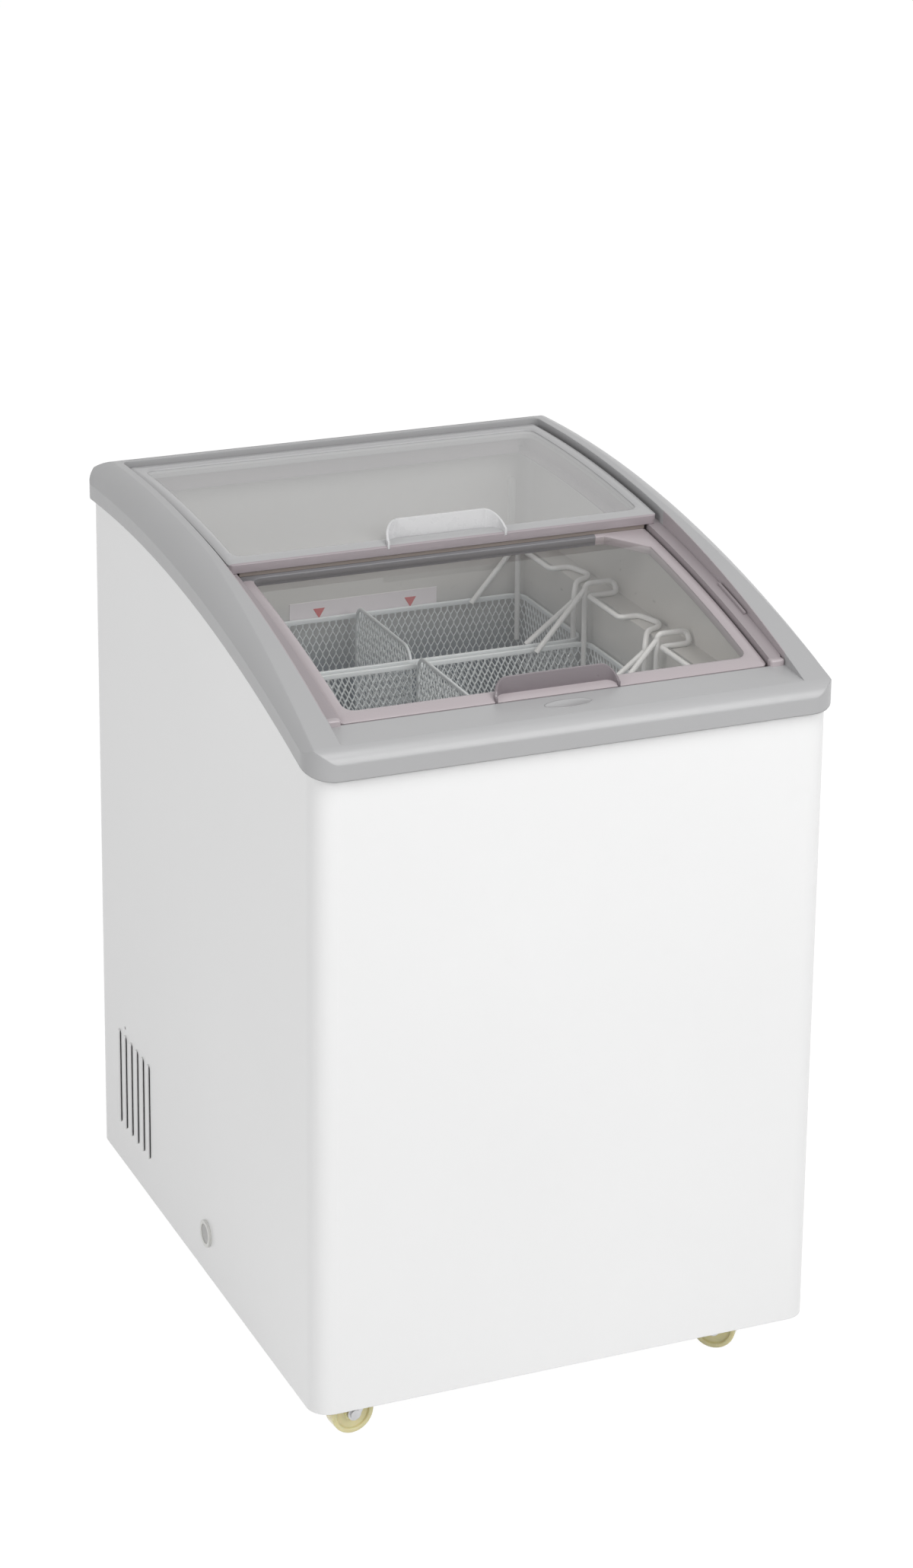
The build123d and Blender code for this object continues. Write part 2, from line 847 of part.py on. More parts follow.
def foam_insulation():
    room = inside_shell((tray_top, sky))
    foam = (room & drum(collar_low_radius)) + (room & collar_form(collar_overhang, collar_wall))
    foam -= bulkhead_outer()
    foam -= tank_form(liner_wall)
    foam -= opening_block(collar_wall) - drum(collar_low_radius)
    drain_path = tube_along(
        [
            (drain_inlet_x, drain_y, tank_floor),
            (drain_inlet_x, drain_y, drain_z),
            (-half_width - sheet, drain_y, drain_z),
        ],
        drain_bend,
        drain_tube_radius,
    )
    return foam - drain_path


def compressor():
    floor = tray_top + grommet_height
    plate_x = (compressor_x - compressor_foot_width / 2, compressor_x + compressor_foot_width / 2)
    plate_y = (compressor_y - compressor_foot_depth / 2, compressor_y + compressor_foot_depth / 2)
    plate = rounded_block(plate_x, plate_y, (floor, floor + compressor_foot_thickness), grommet_radius)
    can = upright(compressor_x, compressor_y, (floor, floor + compressor_height), compressor_radius)
    can = fillet(can.edges().sort_by(Axis.Z)[-1], compressor_dome)
    return plate + can


def compressor_feet():
    reach_x = compressor_foot_width / 2 - grommet_radius
    reach_y = compressor_foot_depth / 2 - grommet_radius
    feet = []
    for dx in wide(reach_x):
        for dy in wide(reach_y):
            foot = upright(compressor_x + dx, compressor_y + dy, (tray_top, tray_top + grommet_height), grommet_radius)
            feet.append(foot)
    return Compound(children=feet)


def start_relay():
    low_z = tray_top + grommet_height + compressor_foot_thickness
    x_span = (compressor_x + compressor_radius - relay_width / 3, compressor_x + compressor_radius + relay_width)
    y_span = (compressor_y - relay_depth / 2, compressor_y + relay_depth / 2)
    box = block(x_span, y_span, (low_z, low_z + relay_height))
    return box - upright(compressor_x, compressor_y, (0, sky), compressor_radius)


def filter_drier():
    middle = (tray_top + compartment_top) / 2
    span = (middle - drier_length / 2, middle + drier_length / 2)
    drier = upright(drier_x, drier_y, span, drier_radius)
    return fillet(drier.edges(), drier_radius / 2)


def refrigerant_pipes():
    can_z = tray_top + grommet_height + compressor_height / 2
    can_side = compressor_x - compressor_radius
    roof = compartment_top
    middle = (tray_top + compartment_top) / 2
    drier_top = middle + drier_length / 2
    drier_foot = middle - drier_length / 2
    low_run = tray_top + 2 * pipe_radius
    suction_x = can_side - 4 * pipe_bend
    discharge_x = suction_x - 2 * pipe_bend
    suction = tube_along(
        [(can_side, compressor_y, can_z), (suction_x, compressor_y, can_z), (suction_x, compressor_y, roof)],
        pipe_bend,
        pipe_radius,
    )
    discharge_y = compressor_y - 2 * pipe_bend
    start_x = compressor_x - math.sqrt(compressor_radius ** 2 - (2 * pipe_bend) ** 2)
    discharge = tube_along(
        [
            (start_x, discharge_y, can_z - 2 * pipe_bend),
            (discharge_x, discharge_y, can_z - 2 * pipe_bend),
            (discharge_x, discharge_y, roof),
        ],
        pipe_bend,
        pipe_radius,
    )
    capillary = rod((drier_x, drier_y, drier_top), (drier_x, drier_y, roof), pipe_radius)
    liquid_x = drier_x - 4 * pipe_bend
    liquid = tube_along(
        [
            (drier_x, drier_y, drier_foot),
            (drier_x, drier_y, low_run),
            (liquid_x, drier_y, low_run),
            (liquid_x, drier_y, roof),
        ],
        pipe_bend,
        pipe_radius,
    )
    can = upright(compressor_x, compressor_y, (0, sky), compressor_radius)
    pipes = [(suction - can).solid(), (discharge - can).solid(), capillary.solid(), liquid.solid()]
    return Compound(children=pipes)


def thermostat_body():
    half = thermostat_size / 2
    face = rear - sheet
    y_span = (face - thermostat_depth, face)
    body = block((knob_x - half, knob_x + half), y_span, (knob_z - half, knob_z + half))
    bore_span = (face - knob_shaft - knob_slot_depth, face)
    return body - along_y(knob_x, bore_span, knob_z, knob_shaft_radius + running_gap)


def thermostat_knob():
    face = rear - sheet + grille_sheet + lid_lift
    knob = along_y(knob_x, (face, face + knob_height), knob_z, knob_radius)
    slot_x = (knob_x - knob_slot_width / 2, knob_x + knob_slot_width / 2)
    slot_y = (face + knob_height - knob_slot_depth, face + knob_height)
    knob -= block(slot_x, slot_y, (knob_z - knob_radius, knob_z + knob_radius))
    return knob + along_y(knob_x, (rear - sheet - knob_shaft, face), knob_z, knob_shaft_radius)


def cord_gland():
    face = rear - sheet
    flange = along_y(gland_x, (face, face + gland_flange), gland_z, gland_flange_radius)
    neck = along_y(gland_x, (face - gland_neck_length, face), gland_z, gland_neck_radius)
    bore = along_y(gland_x, (face - gland_neck_length, face + gland_flange), gland_z, gland_bore_radius)
    return flange + neck - bore


def sensor_cover():
    wall = opening_rear - upper_tank_end_gap
    x_span = (sensor_x - sensor_width / 2, sensor_x + sensor_width / 2)
    bar = block(x_span, (wall - sensor_depth, wall), (ledge_height, sensor_top - sensor_width / 2))
    return bar + along_y(sensor_x, (wall - sensor_depth, wall), sensor_top - sensor_width / 2, sensor_width / 2)


def load_line_strip():
    # a plain strip, and two triangles that point down to the load line
    back = tank_rear - load_strip_thickness
    strip = block((load_strip_left, load_strip_right), (back, tank_rear), (load_strip_low, load_strip_high))
    solids = [strip]
    for x in (load_mark_left, load_mark_right):
        half = load_mark_size / 2
        low = (x, back, load_strip_low)
        left = (x - half, back, load_strip_low + half)
        right = (x + half, back, load_strip_low + half)
        face = Face(Wire.make_polygon([low, left, right]))
        solids.append(extrude(face, amount=load_mark_thickness, dir=(0, -1, 0)).solid())
    return Compound(children=solids)


def basket_rear_y(index):
    return tank_rear - basket_rear_gap - index * basket_pitch


def basket(index):
    high_y = basket_rear_y(index)
    low_y = high_y - basket_length
    bottom = basket_rim_height - basket_depth
    span_x = wide(basket_half_width)
    tray = rounded_block(span_x, (low_y, high_y), (bottom, basket_rim_height), basket_corner)
    inner_x = wide(basket_half_width - basket_wall)
    inner_y = (low_y + basket_wall, high_y - basket_wall)
    tray -= rounded_block(inner_x, inner_y, (bottom + basket_wall, sky), basket_corner - basket_wall)
    grow = basket_rim_width - basket_wall
    band_z = (basket_rim_height - basket_rim_band, basket_rim_height)
    band = rounded_block(
        wide(basket_half_width + grow),
        (low_y - grow, high_y + grow),
        band_z,
        basket_corner + grow,
    )
    band -= rounded_block(inner_x, inner_y, (0, sky), basket_corner - basket_wall)
    return tray + band


def hangers(index):
    # one wire along each side, hooked over the tank's ledge at both ends, with a brace at each end
    high_y = basket_rear_y(index)
    low_y = high_y - basket_length
    radius = wire / 2
    near = basket_half_width - basket_wall - basket_corner / 4 - radius
    rear_wire = high_y - basket_wall - basket_corner / 4 - radius
    front_wire = low_y + basket_wall + basket_corner / 4 + radius
    top = ledge_height + hook_rest_gap + radius
    foot = basket_rim_height - hanger_drop
    solids = []
    for side in (-1, 1):
        inner = side * near
        outer = side * (hook_reach - radius)
        points = [
            (inner, rear_wire, foot),
            (inner, rear_wire, top),
            (outer, rear_wire, top),
            (outer, rear_wire - hook_length, top),
            (inner, rear_wire - hook_length, top),
            (inner, front_wire + hook_length, top),
            (outer, front_wire + hook_length, top),
            (outer, front_wire, top),
            (inner, front_wire, top),
            (inner, front_wire, foot),
        ]
        wires = tube_along(points, hook_bend, radius)
        for y in (rear_wire, front_wire):
            start = (inner, y, top - hook_bend)
            stop = (side * brace_foot, y, basket_rim_height - radius)
            wires += rod(start, stop, radius)
        solids.append(wires.solid())
    return Compound(children=solids)


def divider(index):
    high_y = basket_rear_y(index) - basket_wall - divider_gap
    low_y = basket_rear_y(index) - basket_length + basket_wall + divider_gap
    low_z = basket_rim_height - basket_depth + basket_wall + divider_rest_gap
    high_z = basket_rim_height + divider_rise
    x_span = (divider_x - divider_thickness / 2, divider_x + divider_thickness / 2)
    panel = block(x_span, (low_y, high_y), (low_z, high_z))
    corners = panel.edges().filter_by(Axis.X).group_by(Axis.Z)[-1]
    return fillet(corners, divider_corner)


def castor_places():
    return [(x, y) for y in wide(castor_y) for x in wide(castor_x)]


def screw_offsets():
    half = screw_spacing / 2
    return [(dx, dy) for dx in wide(half) for dy in wide(half)]


def castor_plates():
    plates = []
    low = tray_height - plate_thickness
    for x, y in castor_places():
        half = plate_size / 2
        plate = rounded_block((x - half, x + half), (y - half, y + half), (low, tray_height), screw_head)
        plate += upright(x, y, (low - race_depth, low), race_radius)
        plate -= upright(x, y, (low - race_depth, tray_height), kingpin_radius + running_gap)
        for dx, dy in screw_offsets():
            plate -= upright(x + dx, y + dy, (low, tray_height), screw_radius)
        plates.append(plate.solid())
    return Compound(children=plates)


def castor_screws():
    screws = []
    low = tray_height - plate_thickness
    for x, y in castor_places():
        for dx, dy in screw_offsets():
            screw = upright(x + dx, y + dy, (low - screw_head, low), screw_head_radius)
            screw += upright(x + dx, y + dy, (low, tray_top), screw_radius)
            screws.append(screw.solid())
    return Compound(children=screws)


def castor_pose(x, y, heading):
    # a castor is made at the origin, trailing along +X, and turned to its heading
    return Pos(x, y, 0) * Rot(0, 0, math.degrees(math.atan2(heading[1], heading[0])))


def castor_fork():
    high = tray_height - plate_thickness - race_depth - swivel_gap
    low = high - fork_sheet
    inner = wheel_width / 2 + fork_wheel_gap
    disc = upright(0, 0, (low, high), race_radius)
    disc += block((-fork_half_width, castor_trail / 2), wide(inner + fork_sheet), (low, high))
    fork = disc + upright(0, 0, (high, tray_top), kingpin_radius)
    for side in (-1, 1):
        ends = sorted((side * inner, side * (inner + fork_sheet)))
        outline = [
            (-fork_half_width, ends[0], high),
            (castor_trail / 2, ends[0], high),
            (castor_trail + axle_boss_radius, ends[0], wheel_radius),
            (castor_trail - axle_boss_radius, ends[0], wheel_radius),
        ]
        leg = extrude(Face(Wire.make_polygon(outline)), amount=fork_sheet, dir=(0, 1, 0))
        leg += along_y(castor_trail, ends, wheel_radius, axle_boss_radius)
        fork += leg
    return fork - along_y(castor_trail, wide(2 * inner), wheel_radius, axle_radius)


def castor_axle():
    grip = wheel_width / 2 + fork_wheel_gap + fork_sheet
    axle = along_y(castor_trail, wide(grip), wheel_radius, axle_radius)
    for side in (-1, 1):
        ends = sorted((side * grip, side * (grip + axle_head)))
        axle += along_y(castor_trail, ends, wheel_radius, axle_head_radius)
    return axle


def castor_wheel():
    wheel = along_y(castor_trail, wide(wheel_width / 2), wheel_radius, wheel_radius)
    wheel = fillet(wheel.edges(), wheel_edge)
    return wheel - along_y(castor_trail, wide(wheel_width), wheel_radius, axle_radius + running_gap)


save(cabinet_shell(), "cabinet_shell")
save(back_panel(), "back_panel")
save(rear_grille(), "rear_grille")
save(grille_screws(), "grille_screws")
save(base_tray(), "base_tray")
save(collar_frame(), "collar_frame")
save(side_track(-1), "side_track_left")
save(side_track(1), "side_track_right")
save(cross_rails(), "cross_rails")
save(track_strips(), "track_strips")
save(inner_liner(), "inner_liner")
save(foam_insulation(), "foam_insulation")
save(compressor_bulkhead(), "compressor_bulkhead")
save(evaporator_tube(), "evaporator_tube")
save(condenser_tube(), "condenser_tube")
save(compressor(), "compressor")
save(compressor_feet(), "compressor_feet")
save(start_relay(), "start_relay")
save(filter_drier(), "filter_drier")
save(refrigerant_pipes(), "refrigerant_pipes")
save(thermostat_body(), "thermostat_body")
save(thermostat_knob(), "thermostat_knob")
save(cord_gland(), "cord_gland")
save(drain_tube(), "drain_tube")
save(drain_ring(), "drain_ring")
save(drain_cap(), "drain_cap")
save(drain_plug(), "drain_plug")
save(sensor_cover(), "sensor_cover")
save(load_line_strip(), "load_line_strip")

save(lid_frame(*rear_lid_layout()), "rear_lid_frame")
save(lid_glass(*rear_lid_layout()), "rear_lid_glass")
save(scoop_handle(rear_lid_front, rear_lid_top, rear_handle_depth, rear_handle_height), "rear_lid_handle")
save(lid_frame(*front_lid_layout()), "front_lid_frame")
save(lid_glass(*front_lid_layout()), "front_lid_glass")
save(scoop_handle(front_lid_front, front_lid_top, front_handle_depth, front_handle_height), "front_lid_handle")
rear_seal, front_seal = lid_seals()
save(rear_seal, "rear_lid_seal")
save(front_seal, "front_lid_seal")

basket_names = ["rear", "middle", "front"]
for index in range(basket_count):
    save(basket(index), "basket_" + basket_names[index])
    save(hangers(index), "hangers_" + basket_names[index])
    save(divider(index), "divider_" + basket_names[index])

save(castor_plates(), "castor_plates")
save(castor_screws(), "castor_screws")
castors = [
    ("front_left", -castor_x, -castor_y, front_left_heading),
    ("front_right", castor_x, -castor_y, front_right_heading),
    ("rear_left", -castor_x, castor_y, rear_left_heading),
    ("rear_right", castor_x, castor_y, rear_right_heading),
]
for place, x, y, heading in castors:
    pose = castor_pose(x, y, heading)
    save(pose * castor_fork(), "castor_fork_" + place)
    save(pose * castor_axle(), "castor_axle_" + place)
    save(pose * castor_wheel(), "castor_wheel_" + place)
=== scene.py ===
import math

import bpy
import bmesh
from mathutils import Matrix, Vector


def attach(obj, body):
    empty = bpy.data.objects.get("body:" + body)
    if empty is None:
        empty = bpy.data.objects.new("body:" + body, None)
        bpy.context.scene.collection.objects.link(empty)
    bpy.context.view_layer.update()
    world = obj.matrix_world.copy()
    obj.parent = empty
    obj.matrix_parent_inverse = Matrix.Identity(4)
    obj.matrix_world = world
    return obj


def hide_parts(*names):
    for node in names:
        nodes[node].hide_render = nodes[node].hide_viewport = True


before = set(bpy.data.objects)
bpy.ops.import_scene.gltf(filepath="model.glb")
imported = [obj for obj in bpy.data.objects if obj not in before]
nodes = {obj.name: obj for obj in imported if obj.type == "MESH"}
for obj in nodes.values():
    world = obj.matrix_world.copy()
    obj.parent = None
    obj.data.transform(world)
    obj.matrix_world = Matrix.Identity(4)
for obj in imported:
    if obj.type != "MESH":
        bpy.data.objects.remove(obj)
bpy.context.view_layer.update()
bpy.ops.object.select_all(action="DESELECT")
print("frame loaded:", len(nodes), "nodes")

curve = {"y": 0.258, "z": -1.158}  # the lids' far axis, that all curved pieces are bent about
near = 0.0001  # places closer than this count as one
facing = 0.9  # a face whose normal has more than this along an axis faces that way
standing = (math.pi / 2, 0, 0)  # turns a flat primitive to stand in XZ


# small helpers for modelling
def current():
    return bpy.context.view_layer.objects.active


def title(piece, name):
    piece.name = name
    piece.data.name = name
    return piece


def edit():
    bpy.ops.object.mode_set(mode="EDIT")


def leave():
    bpy.ops.object.mode_set(mode="OBJECT")


def only(piece):
    bpy.ops.object.select_all(action="DESELECT")
    piece.select_set(True)
    bpy.context.view_layer.objects.active = piece


def pick(kind, test):
    # in edit mode: selects the verts, edges or faces that pass a test
    bpy.ops.mesh.select_mode(type=kind)
    bpy.ops.mesh.select_all(action="DESELECT")
    mesh = bmesh.from_edit_mesh(current().data)
    mesh.normal_update()
    parts = {"VERT": mesh.verts, "EDGE": mesh.edges, "FACE": mesh.faces}[kind]
    for part in parts:
        if test(part):
            part.select_set(True)
    mesh.select_flush_mode()
    bmesh.update_edit_mesh(current().data)


def pickAll():
    bpy.ops.mesh.select_all(action="SELECT")


def middleOf(part):
    total = Vector((0, 0, 0))
    for vert in part.verts:
        total += vert.co
    return total / len(part.verts)


def extrude(*shift):
    bpy.ops.mesh.extrude_region_move(TRANSFORM_OT_translate={"value": shift})


def roundVerts(offset, segments=1):
    bpy.ops.mesh.bevel(offset=offset, segments=segments, affect="VERTICES")


def cut(place, normal, **sides):
    # bisects the whole mesh by a plane
    pickAll()
    bpy.ops.mesh.bisect(plane_co=place, plane_no=normal, threshold=0.00001, **sides)


def roundOff(centre, radius, side, turns):
    # cuts an upper corner to a round, with one facet for each turn up from level
    for turn in turns:
        angle = math.radians(turn)
        away = Vector((side * math.cos(angle), 0, math.sin(angle)))
        cut(centre + away * radius, away, clear_outer=True)


def modify(piece, kind, **settings):
    only(piece)
    modifier = piece.modifiers.new(kind.title(), kind)
    for key, value in settings.items():
        setattr(modifier, key, value)
    bpy.ops.object.modifier_apply(modifier=modifier.name)


def soften(piece, width, segments=3, angle=35):
    modify(
        piece,
        "BEVEL",
        width=width,
        segments=segments,
        limit_method="ANGLE",
        angle_limit=math.radians(angle),
        use_clamp_overlap=True,
        miter_outer="MITER_ARC",
    )


def settle(piece):
    # the place goes into the mesh, so the object is at the origin, unturned and unscaled
    only(piece)
    bpy.ops.object.transform_apply(location=True, rotation=True, scale=True)


def smooth(piece, angle=35):
    only(piece)
    bpy.ops.object.shade_smooth_by_angle(angle=math.radians(angle))


def outward(piece):
    only(piece)
    edit()
    pickAll()
    bpy.ops.mesh.remove_doubles(threshold=0.00002)
    bpy.ops.mesh.normals_make_consistent(inside=False)
    leave()


def boxBetween(*spans):
    # a box between its lowest and highest x, y and z
    bpy.ops.mesh.primitive_cube_add(size=1, location=[sum(span) / 2 for span in spans])
    piece = current()
    piece.scale = [high - low for low, high in spans]
    settle(piece)
    return piece


def another(piece, name, shift=(0, 0, 0), turn=0.0):
    # a copy with its own mesh, turned about the origin's upright and moved
    twin = piece.copy()
    twin.data = piece.data.copy()
    bpy.context.collection.objects.link(twin)
    twin.rotation_euler[2] = turn
    twin.location = shift
    settle(twin)
    return title(twin, name)


def together(pieces):
    only(pieces[0])
    for piece in pieces[1:]:
        piece.select_set(True)
    bpy.ops.object.join()
    return current()


def place(piece, body, replaced=(), slot=None, look=None):
    if look:
        piece.data.materials.clear()
        piece.data.materials.append(look)
    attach(piece, body)
    if replaced:
        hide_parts(*replaced)


# small helpers for shaders
class Value:
    # wraps a socket, so that an expression on values adds its Math nodes
    def __init__(self, paint, socket):
        self.paint = paint
        self.socket = socket

    def other(self, out):
        # another output of the same node
        return Value(self.paint, self.socket.node.outputs[out])

    def work(self, operation, first, second):
        return self.paint.add("ShaderNodeMath", {"operation": operation}, {0: first, 1: second})

    def __add__(self, other):
        return self.work("ADD", self, other)

    def __radd__(self, other):
        return self.work("ADD", other, self)

    def __sub__(self, other):
        return self.work("SUBTRACT", self, other)

    def __rsub__(self, other):
        return self.work("SUBTRACT", other, self)

    def __mul__(self, other):
        return self.work("MULTIPLY", self, other)

    def __rmul__(self, other):
        return self.work("MULTIPLY", other, self)

    def __lt__(self, other):
        return self.work("LESS_THAN", self, other)

    def __gt__(self, other):
        return self.work("GREATER_THAN", self, other)


class Paint:
    # the nodes of one material or world
    def __init__(self, name, world=False):
        self.block = bpy.data.worlds.new(name) if world else bpy.data.materials.new(name)
        self.ending = "ShaderNodeOutputWorld" if world else "ShaderNodeOutputMaterial"
        self.block.use_nodes = True
        self.tree = self.block.node_tree
        self.tree.nodes.clear()
        self.place = None if world else self.add("ShaderNodeTexCoord", {}, {}, "Object")

    def add(self, kind, settings, inputs, out=0):
        node = self.tree.nodes.new(kind)
        for key, value in settings.items():
            setattr(node, key, value)
        for key, value in inputs.items():
            if isinstance(value, Value):
                self.tree.links.new(value.socket, node.inputs[key])
            elif isinstance(value, tuple) and node.inputs[key].type == "RGBA":
                node.inputs[key].default_value = (*value, 1)
            else:
                node.inputs[key].default_value = value
        return Value(self, node.outputs[out]) if node.outputs else None

    def noise(self, scale, detail=2.0, rough=0.5, stretch=None):
        where = self.place
        if stretch:
            where = self.add("ShaderNodeMapping", {}, {"Vector": where, "Scale": stretch})
        inputs = {"Vector": where, "Scale": scale, "Detail": detail, "Roughness": rough}
        return self.add("ShaderNodeTexNoise", {}, inputs)

    def cells(self, scale):
        inputs = {"Vector": self.place, "Scale": scale}
        return self.add("ShaderNodeTexVoronoi", {}, inputs, "Distance")

    def axes(self):
        x = self.add("ShaderNodeSeparateXYZ", {}, {0: self.place})
        return x, x.other(1), x.other(2)

    def mix(self, share, first, second):
        return self.add("ShaderNodeMix", {"data_type": "RGBA"}, {0: share, 6: first, 7: second}, 2)

    def bump(self, height, strength, distance, rounded=None):
        # a bump over the plain normal, or over edges rounded by a radius
        inputs = {"Height": height, "Strength": strength, "Distance": distance}
        if rounded:
            inputs["Normal"] = self.add("ShaderNodeBevel", {"samples": 6}, {"Radius": rounded})
        return self.add("ShaderNodeBump", {}, inputs)

    def surface(self, base, roughness, normal, **others):
        # the finished material; coatWeight stands for the socket Coat Weight, and so on
        inputs = {"Base Color": base, "Roughness": roughness, "Normal": normal}
        for key, value in others.items():
            words = "".join(" " + letter if letter.isupper() else letter for letter in key)
            inputs[words.title()] = value
        return self.finish(self.add("ShaderNodeBsdfPrincipled", {}, inputs))

    def finish(self, surface):
        self.add(self.ending, {}, {0: surface})
        return self.block


def srgb(red, green, blue):
    def straight(level):
        level /= 255
        return level / 12.92 if level <= 0.04045 else ((level + 0.055) / 1.055) ** 2.4

    return (straight(red), straight(green), straight(blue))


def toned(shade, share):
    return tuple(min(1.0, level * share) for level in shade)


def paintedSheet(name, shade, rough=0.32, peel=0.06):
    # powder-coated sheet: fine orange peel, with a faint uneven tone
    paint = Paint(name)
    base = paint.mix(paint.noise(scale=3.5), toned(shade, 0.965), shade)
    normal = paint.bump(paint.noise(scale=420), strength=peel, distance=0.0006, rounded=0.0008)
    roughness = paint.noise(scale=60) * 0.08 + (rough - 0.04)
    return paint.surface(base, roughness, normal, coatWeight=0.15)


def mouldedPlastic(
    name, shade, rough=0.42, grain=0.1, edge=0.0012, coat=0.0, second=None, where=None
):
    # injection-moulded plastic: fine spark-eroded grain, slightly worn tone, softened edges,
    # and a second shade where a test on the place holds, which on the front lid is painted shade
    paint = Paint(name)
    base = paint.mix(paint.noise(scale=7, detail=3), toned(shade, 0.97), toned(shade, 1.03))
    if second:
        base = paint.mix(where(*paint.axes()), base, second)
    fine = paint.noise(scale=1500, detail=3, rough=0.6)
    normal = paint.bump(fine, strength=grain, distance=0.0003, rounded=edge)
    roughness = paint.noise(scale=90, detail=3) * 0.12 + (rough - 0.06)
    return paint.surface(base, roughness, normal, coatWeight=coat, coatRoughness=0.12)


def tankPlastic(name, shade, paintedShadeColour, paintedShadeBelow, fade):
    # the tank's lining: painted shade, bluer and darker towards the bottom
    paint = Paint(name)
    z = paint.axes()[2]
    pale = paint.mix(paint.noise(scale=5, detail=3), toned(shade, 0.95), shade)
    settings = {"operation": "MULTIPLY", "use_clamp": True}
    # painted shade: the share of the bluer, darker colour, which grows below a height
    deep = paint.add("ShaderNodeMath", settings, {0: paintedShadeBelow - z, 1: fade})
    base = paint.mix(deep, pale, paintedShadeColour)
    fine = paint.noise(scale=1500, detail=3, rough=0.6)
    normal = paint.bump(fine, strength=0.05, distance=0.0003, rounded=0.002)
    roughness = paint.noise(scale=90, detail=3) * 0.12 + 0.24
    return paint.surface(base, roughness, normal, coatWeight=0.25)


def metalSheet(name, shade, rough=0.35):
    # drawn or plated metal: fine grain in the gloss, with a faint spangle in the tone
    paint = Paint(name)
    grain = paint.noise(scale=240, detail=4, rough=0.6)
    base = paint.mix(paint.cells(scale=90) * 0.8, shade, toned(shade, 0.8))
    normal = paint.bump(grain, strength=0.08, distance=0.0003, rounded=0.0005)
    roughness = grain * 0.2 + (rough - 0.1)
    return paint.surface(base, roughness, normal, metallic=1.0)


def dippedWire(name, shade, rough=0.3):
    # plastic-dipped steel wire: glossy and slightly lumpy
    paint = Paint(name)
    lumps = paint.noise(scale=140)
    base = paint.mix(paint.noise(scale=30), toned(shade, 0.94), shade)
    normal = paint.bump(lumps, strength=0.15, distance=0.001)
    return paint.surface(base, lumps * 0.12 + (rough - 0.06), normal, coatWeight=0.2)


def curvedGlass(name, tint, haze):
    # tempered glass that lets light through, with a faint haze of use
    paint = Paint(name)
    smear = paint.noise(scale=9, detail=4, rough=0.6, stretch=(1, 0.6, 1))
    clear = paint.add("ShaderNodeBsdfTransparent", {}, {"Color": tint})
    gloss = paint.add("ShaderNodeBsdfGlossy", {}, {"Color": (1, 1, 1), "Roughness": 0.04})
    film = paint.add("ShaderNodeBsdfDiffuse", {}, {"Color": srgb(226, 226, 226)})
    inner = paint.add("ShaderNodeNewGeometry", {}, {}, "Backfacing")
    shine = paint.add("ShaderNodeFresnel", {}, {"IOR": 1.5}) * (1 - inner)  # where light goes in
    glazed = paint.add("ShaderNodeMixShader", {}, {0: shine, 1: clear, 2: gloss})
    share = smear * (haze * 0.2) + haze * 0.9
    return paint.finish(paint.add("ShaderNodeMixShader", {}, {0: share, 1: glazed, 2: film}))


def softRubber(name, shade, rough=0.6):
    # matt rubber or soft vinyl with a fine grain
    paint = Paint(name)
    grain = paint.noise(scale=900, detail=3)
    base = paint.mix(paint.noise(scale=20), toned(shade, 0.85), shade)
    normal = paint.bump(grain, strength=0.2, distance=0.0003, rounded=0.0006)
    return paint.surface(base, grain * 0.15 + rough, normal)


def foamFill(name):
    # poured insulation foam with small cells
    paint = Paint(name)
    cells = paint.cells(scale=260)
    tone = paint.noise(scale=8, detail=4)
    base = paint.mix(tone, srgb(225, 200, 140), srgb(240, 222, 170))
    normal = paint.bump(cells, strength=0.5, distance=0.001)
    return paint.surface(base, cells * 0.2 + 0.75, normal)


def wheelPlastic(name):
    # cast wheel of clear yellowish plastic
    paint = Paint(name)
    flow = paint.noise(scale=40, detail=3)
    base = paint.mix(flow, srgb(224, 214, 156), srgb(242, 235, 190))
    normal = paint.bump(paint.noise(scale=700), strength=0.08, distance=0.0004)
    return paint.surface(
        base,
        flow * 0.1 + 0.22,
        normal,
        subsurfaceWeight=0.35,
        subsurfaceRadius=(0.004, 0.003, 0.0015),
        subsurfaceScale=1.0,
        coatWeight=0.3,
    )


# where the second shade of the collar's inner wall and of the lid borders begins; on the front
# lid's rear border it is painted shade
tints = {
    "wallHalf": 0.2694,
    "wallFront": -0.316,
    "wallRear": -0.012,
    "rearLidFront": -0.0055,
    "frontLidPaintedShadeRear": -0.014,
    "frontLidPaintedShadeRight": 0.185,
}


def onCollarWall(x, y, z):
    across = x * x < tints["wallHalf"] ** 2
    return across * (y > tints["wallFront"]) * (y < tints["wallRear"])


def onRearLidBorder(x, y, z):
    return y < tints["rearLidFront"]


# painted shade: darkens the front lid's rear border under the rear lid's front edge, left of the
# right-hand hangers
def onFrontLidPaintedShade(x, y, z):
    return (y > tints["frontLidPaintedShadeRear"]) * (x < tints["frontLidPaintedShadeRight"])


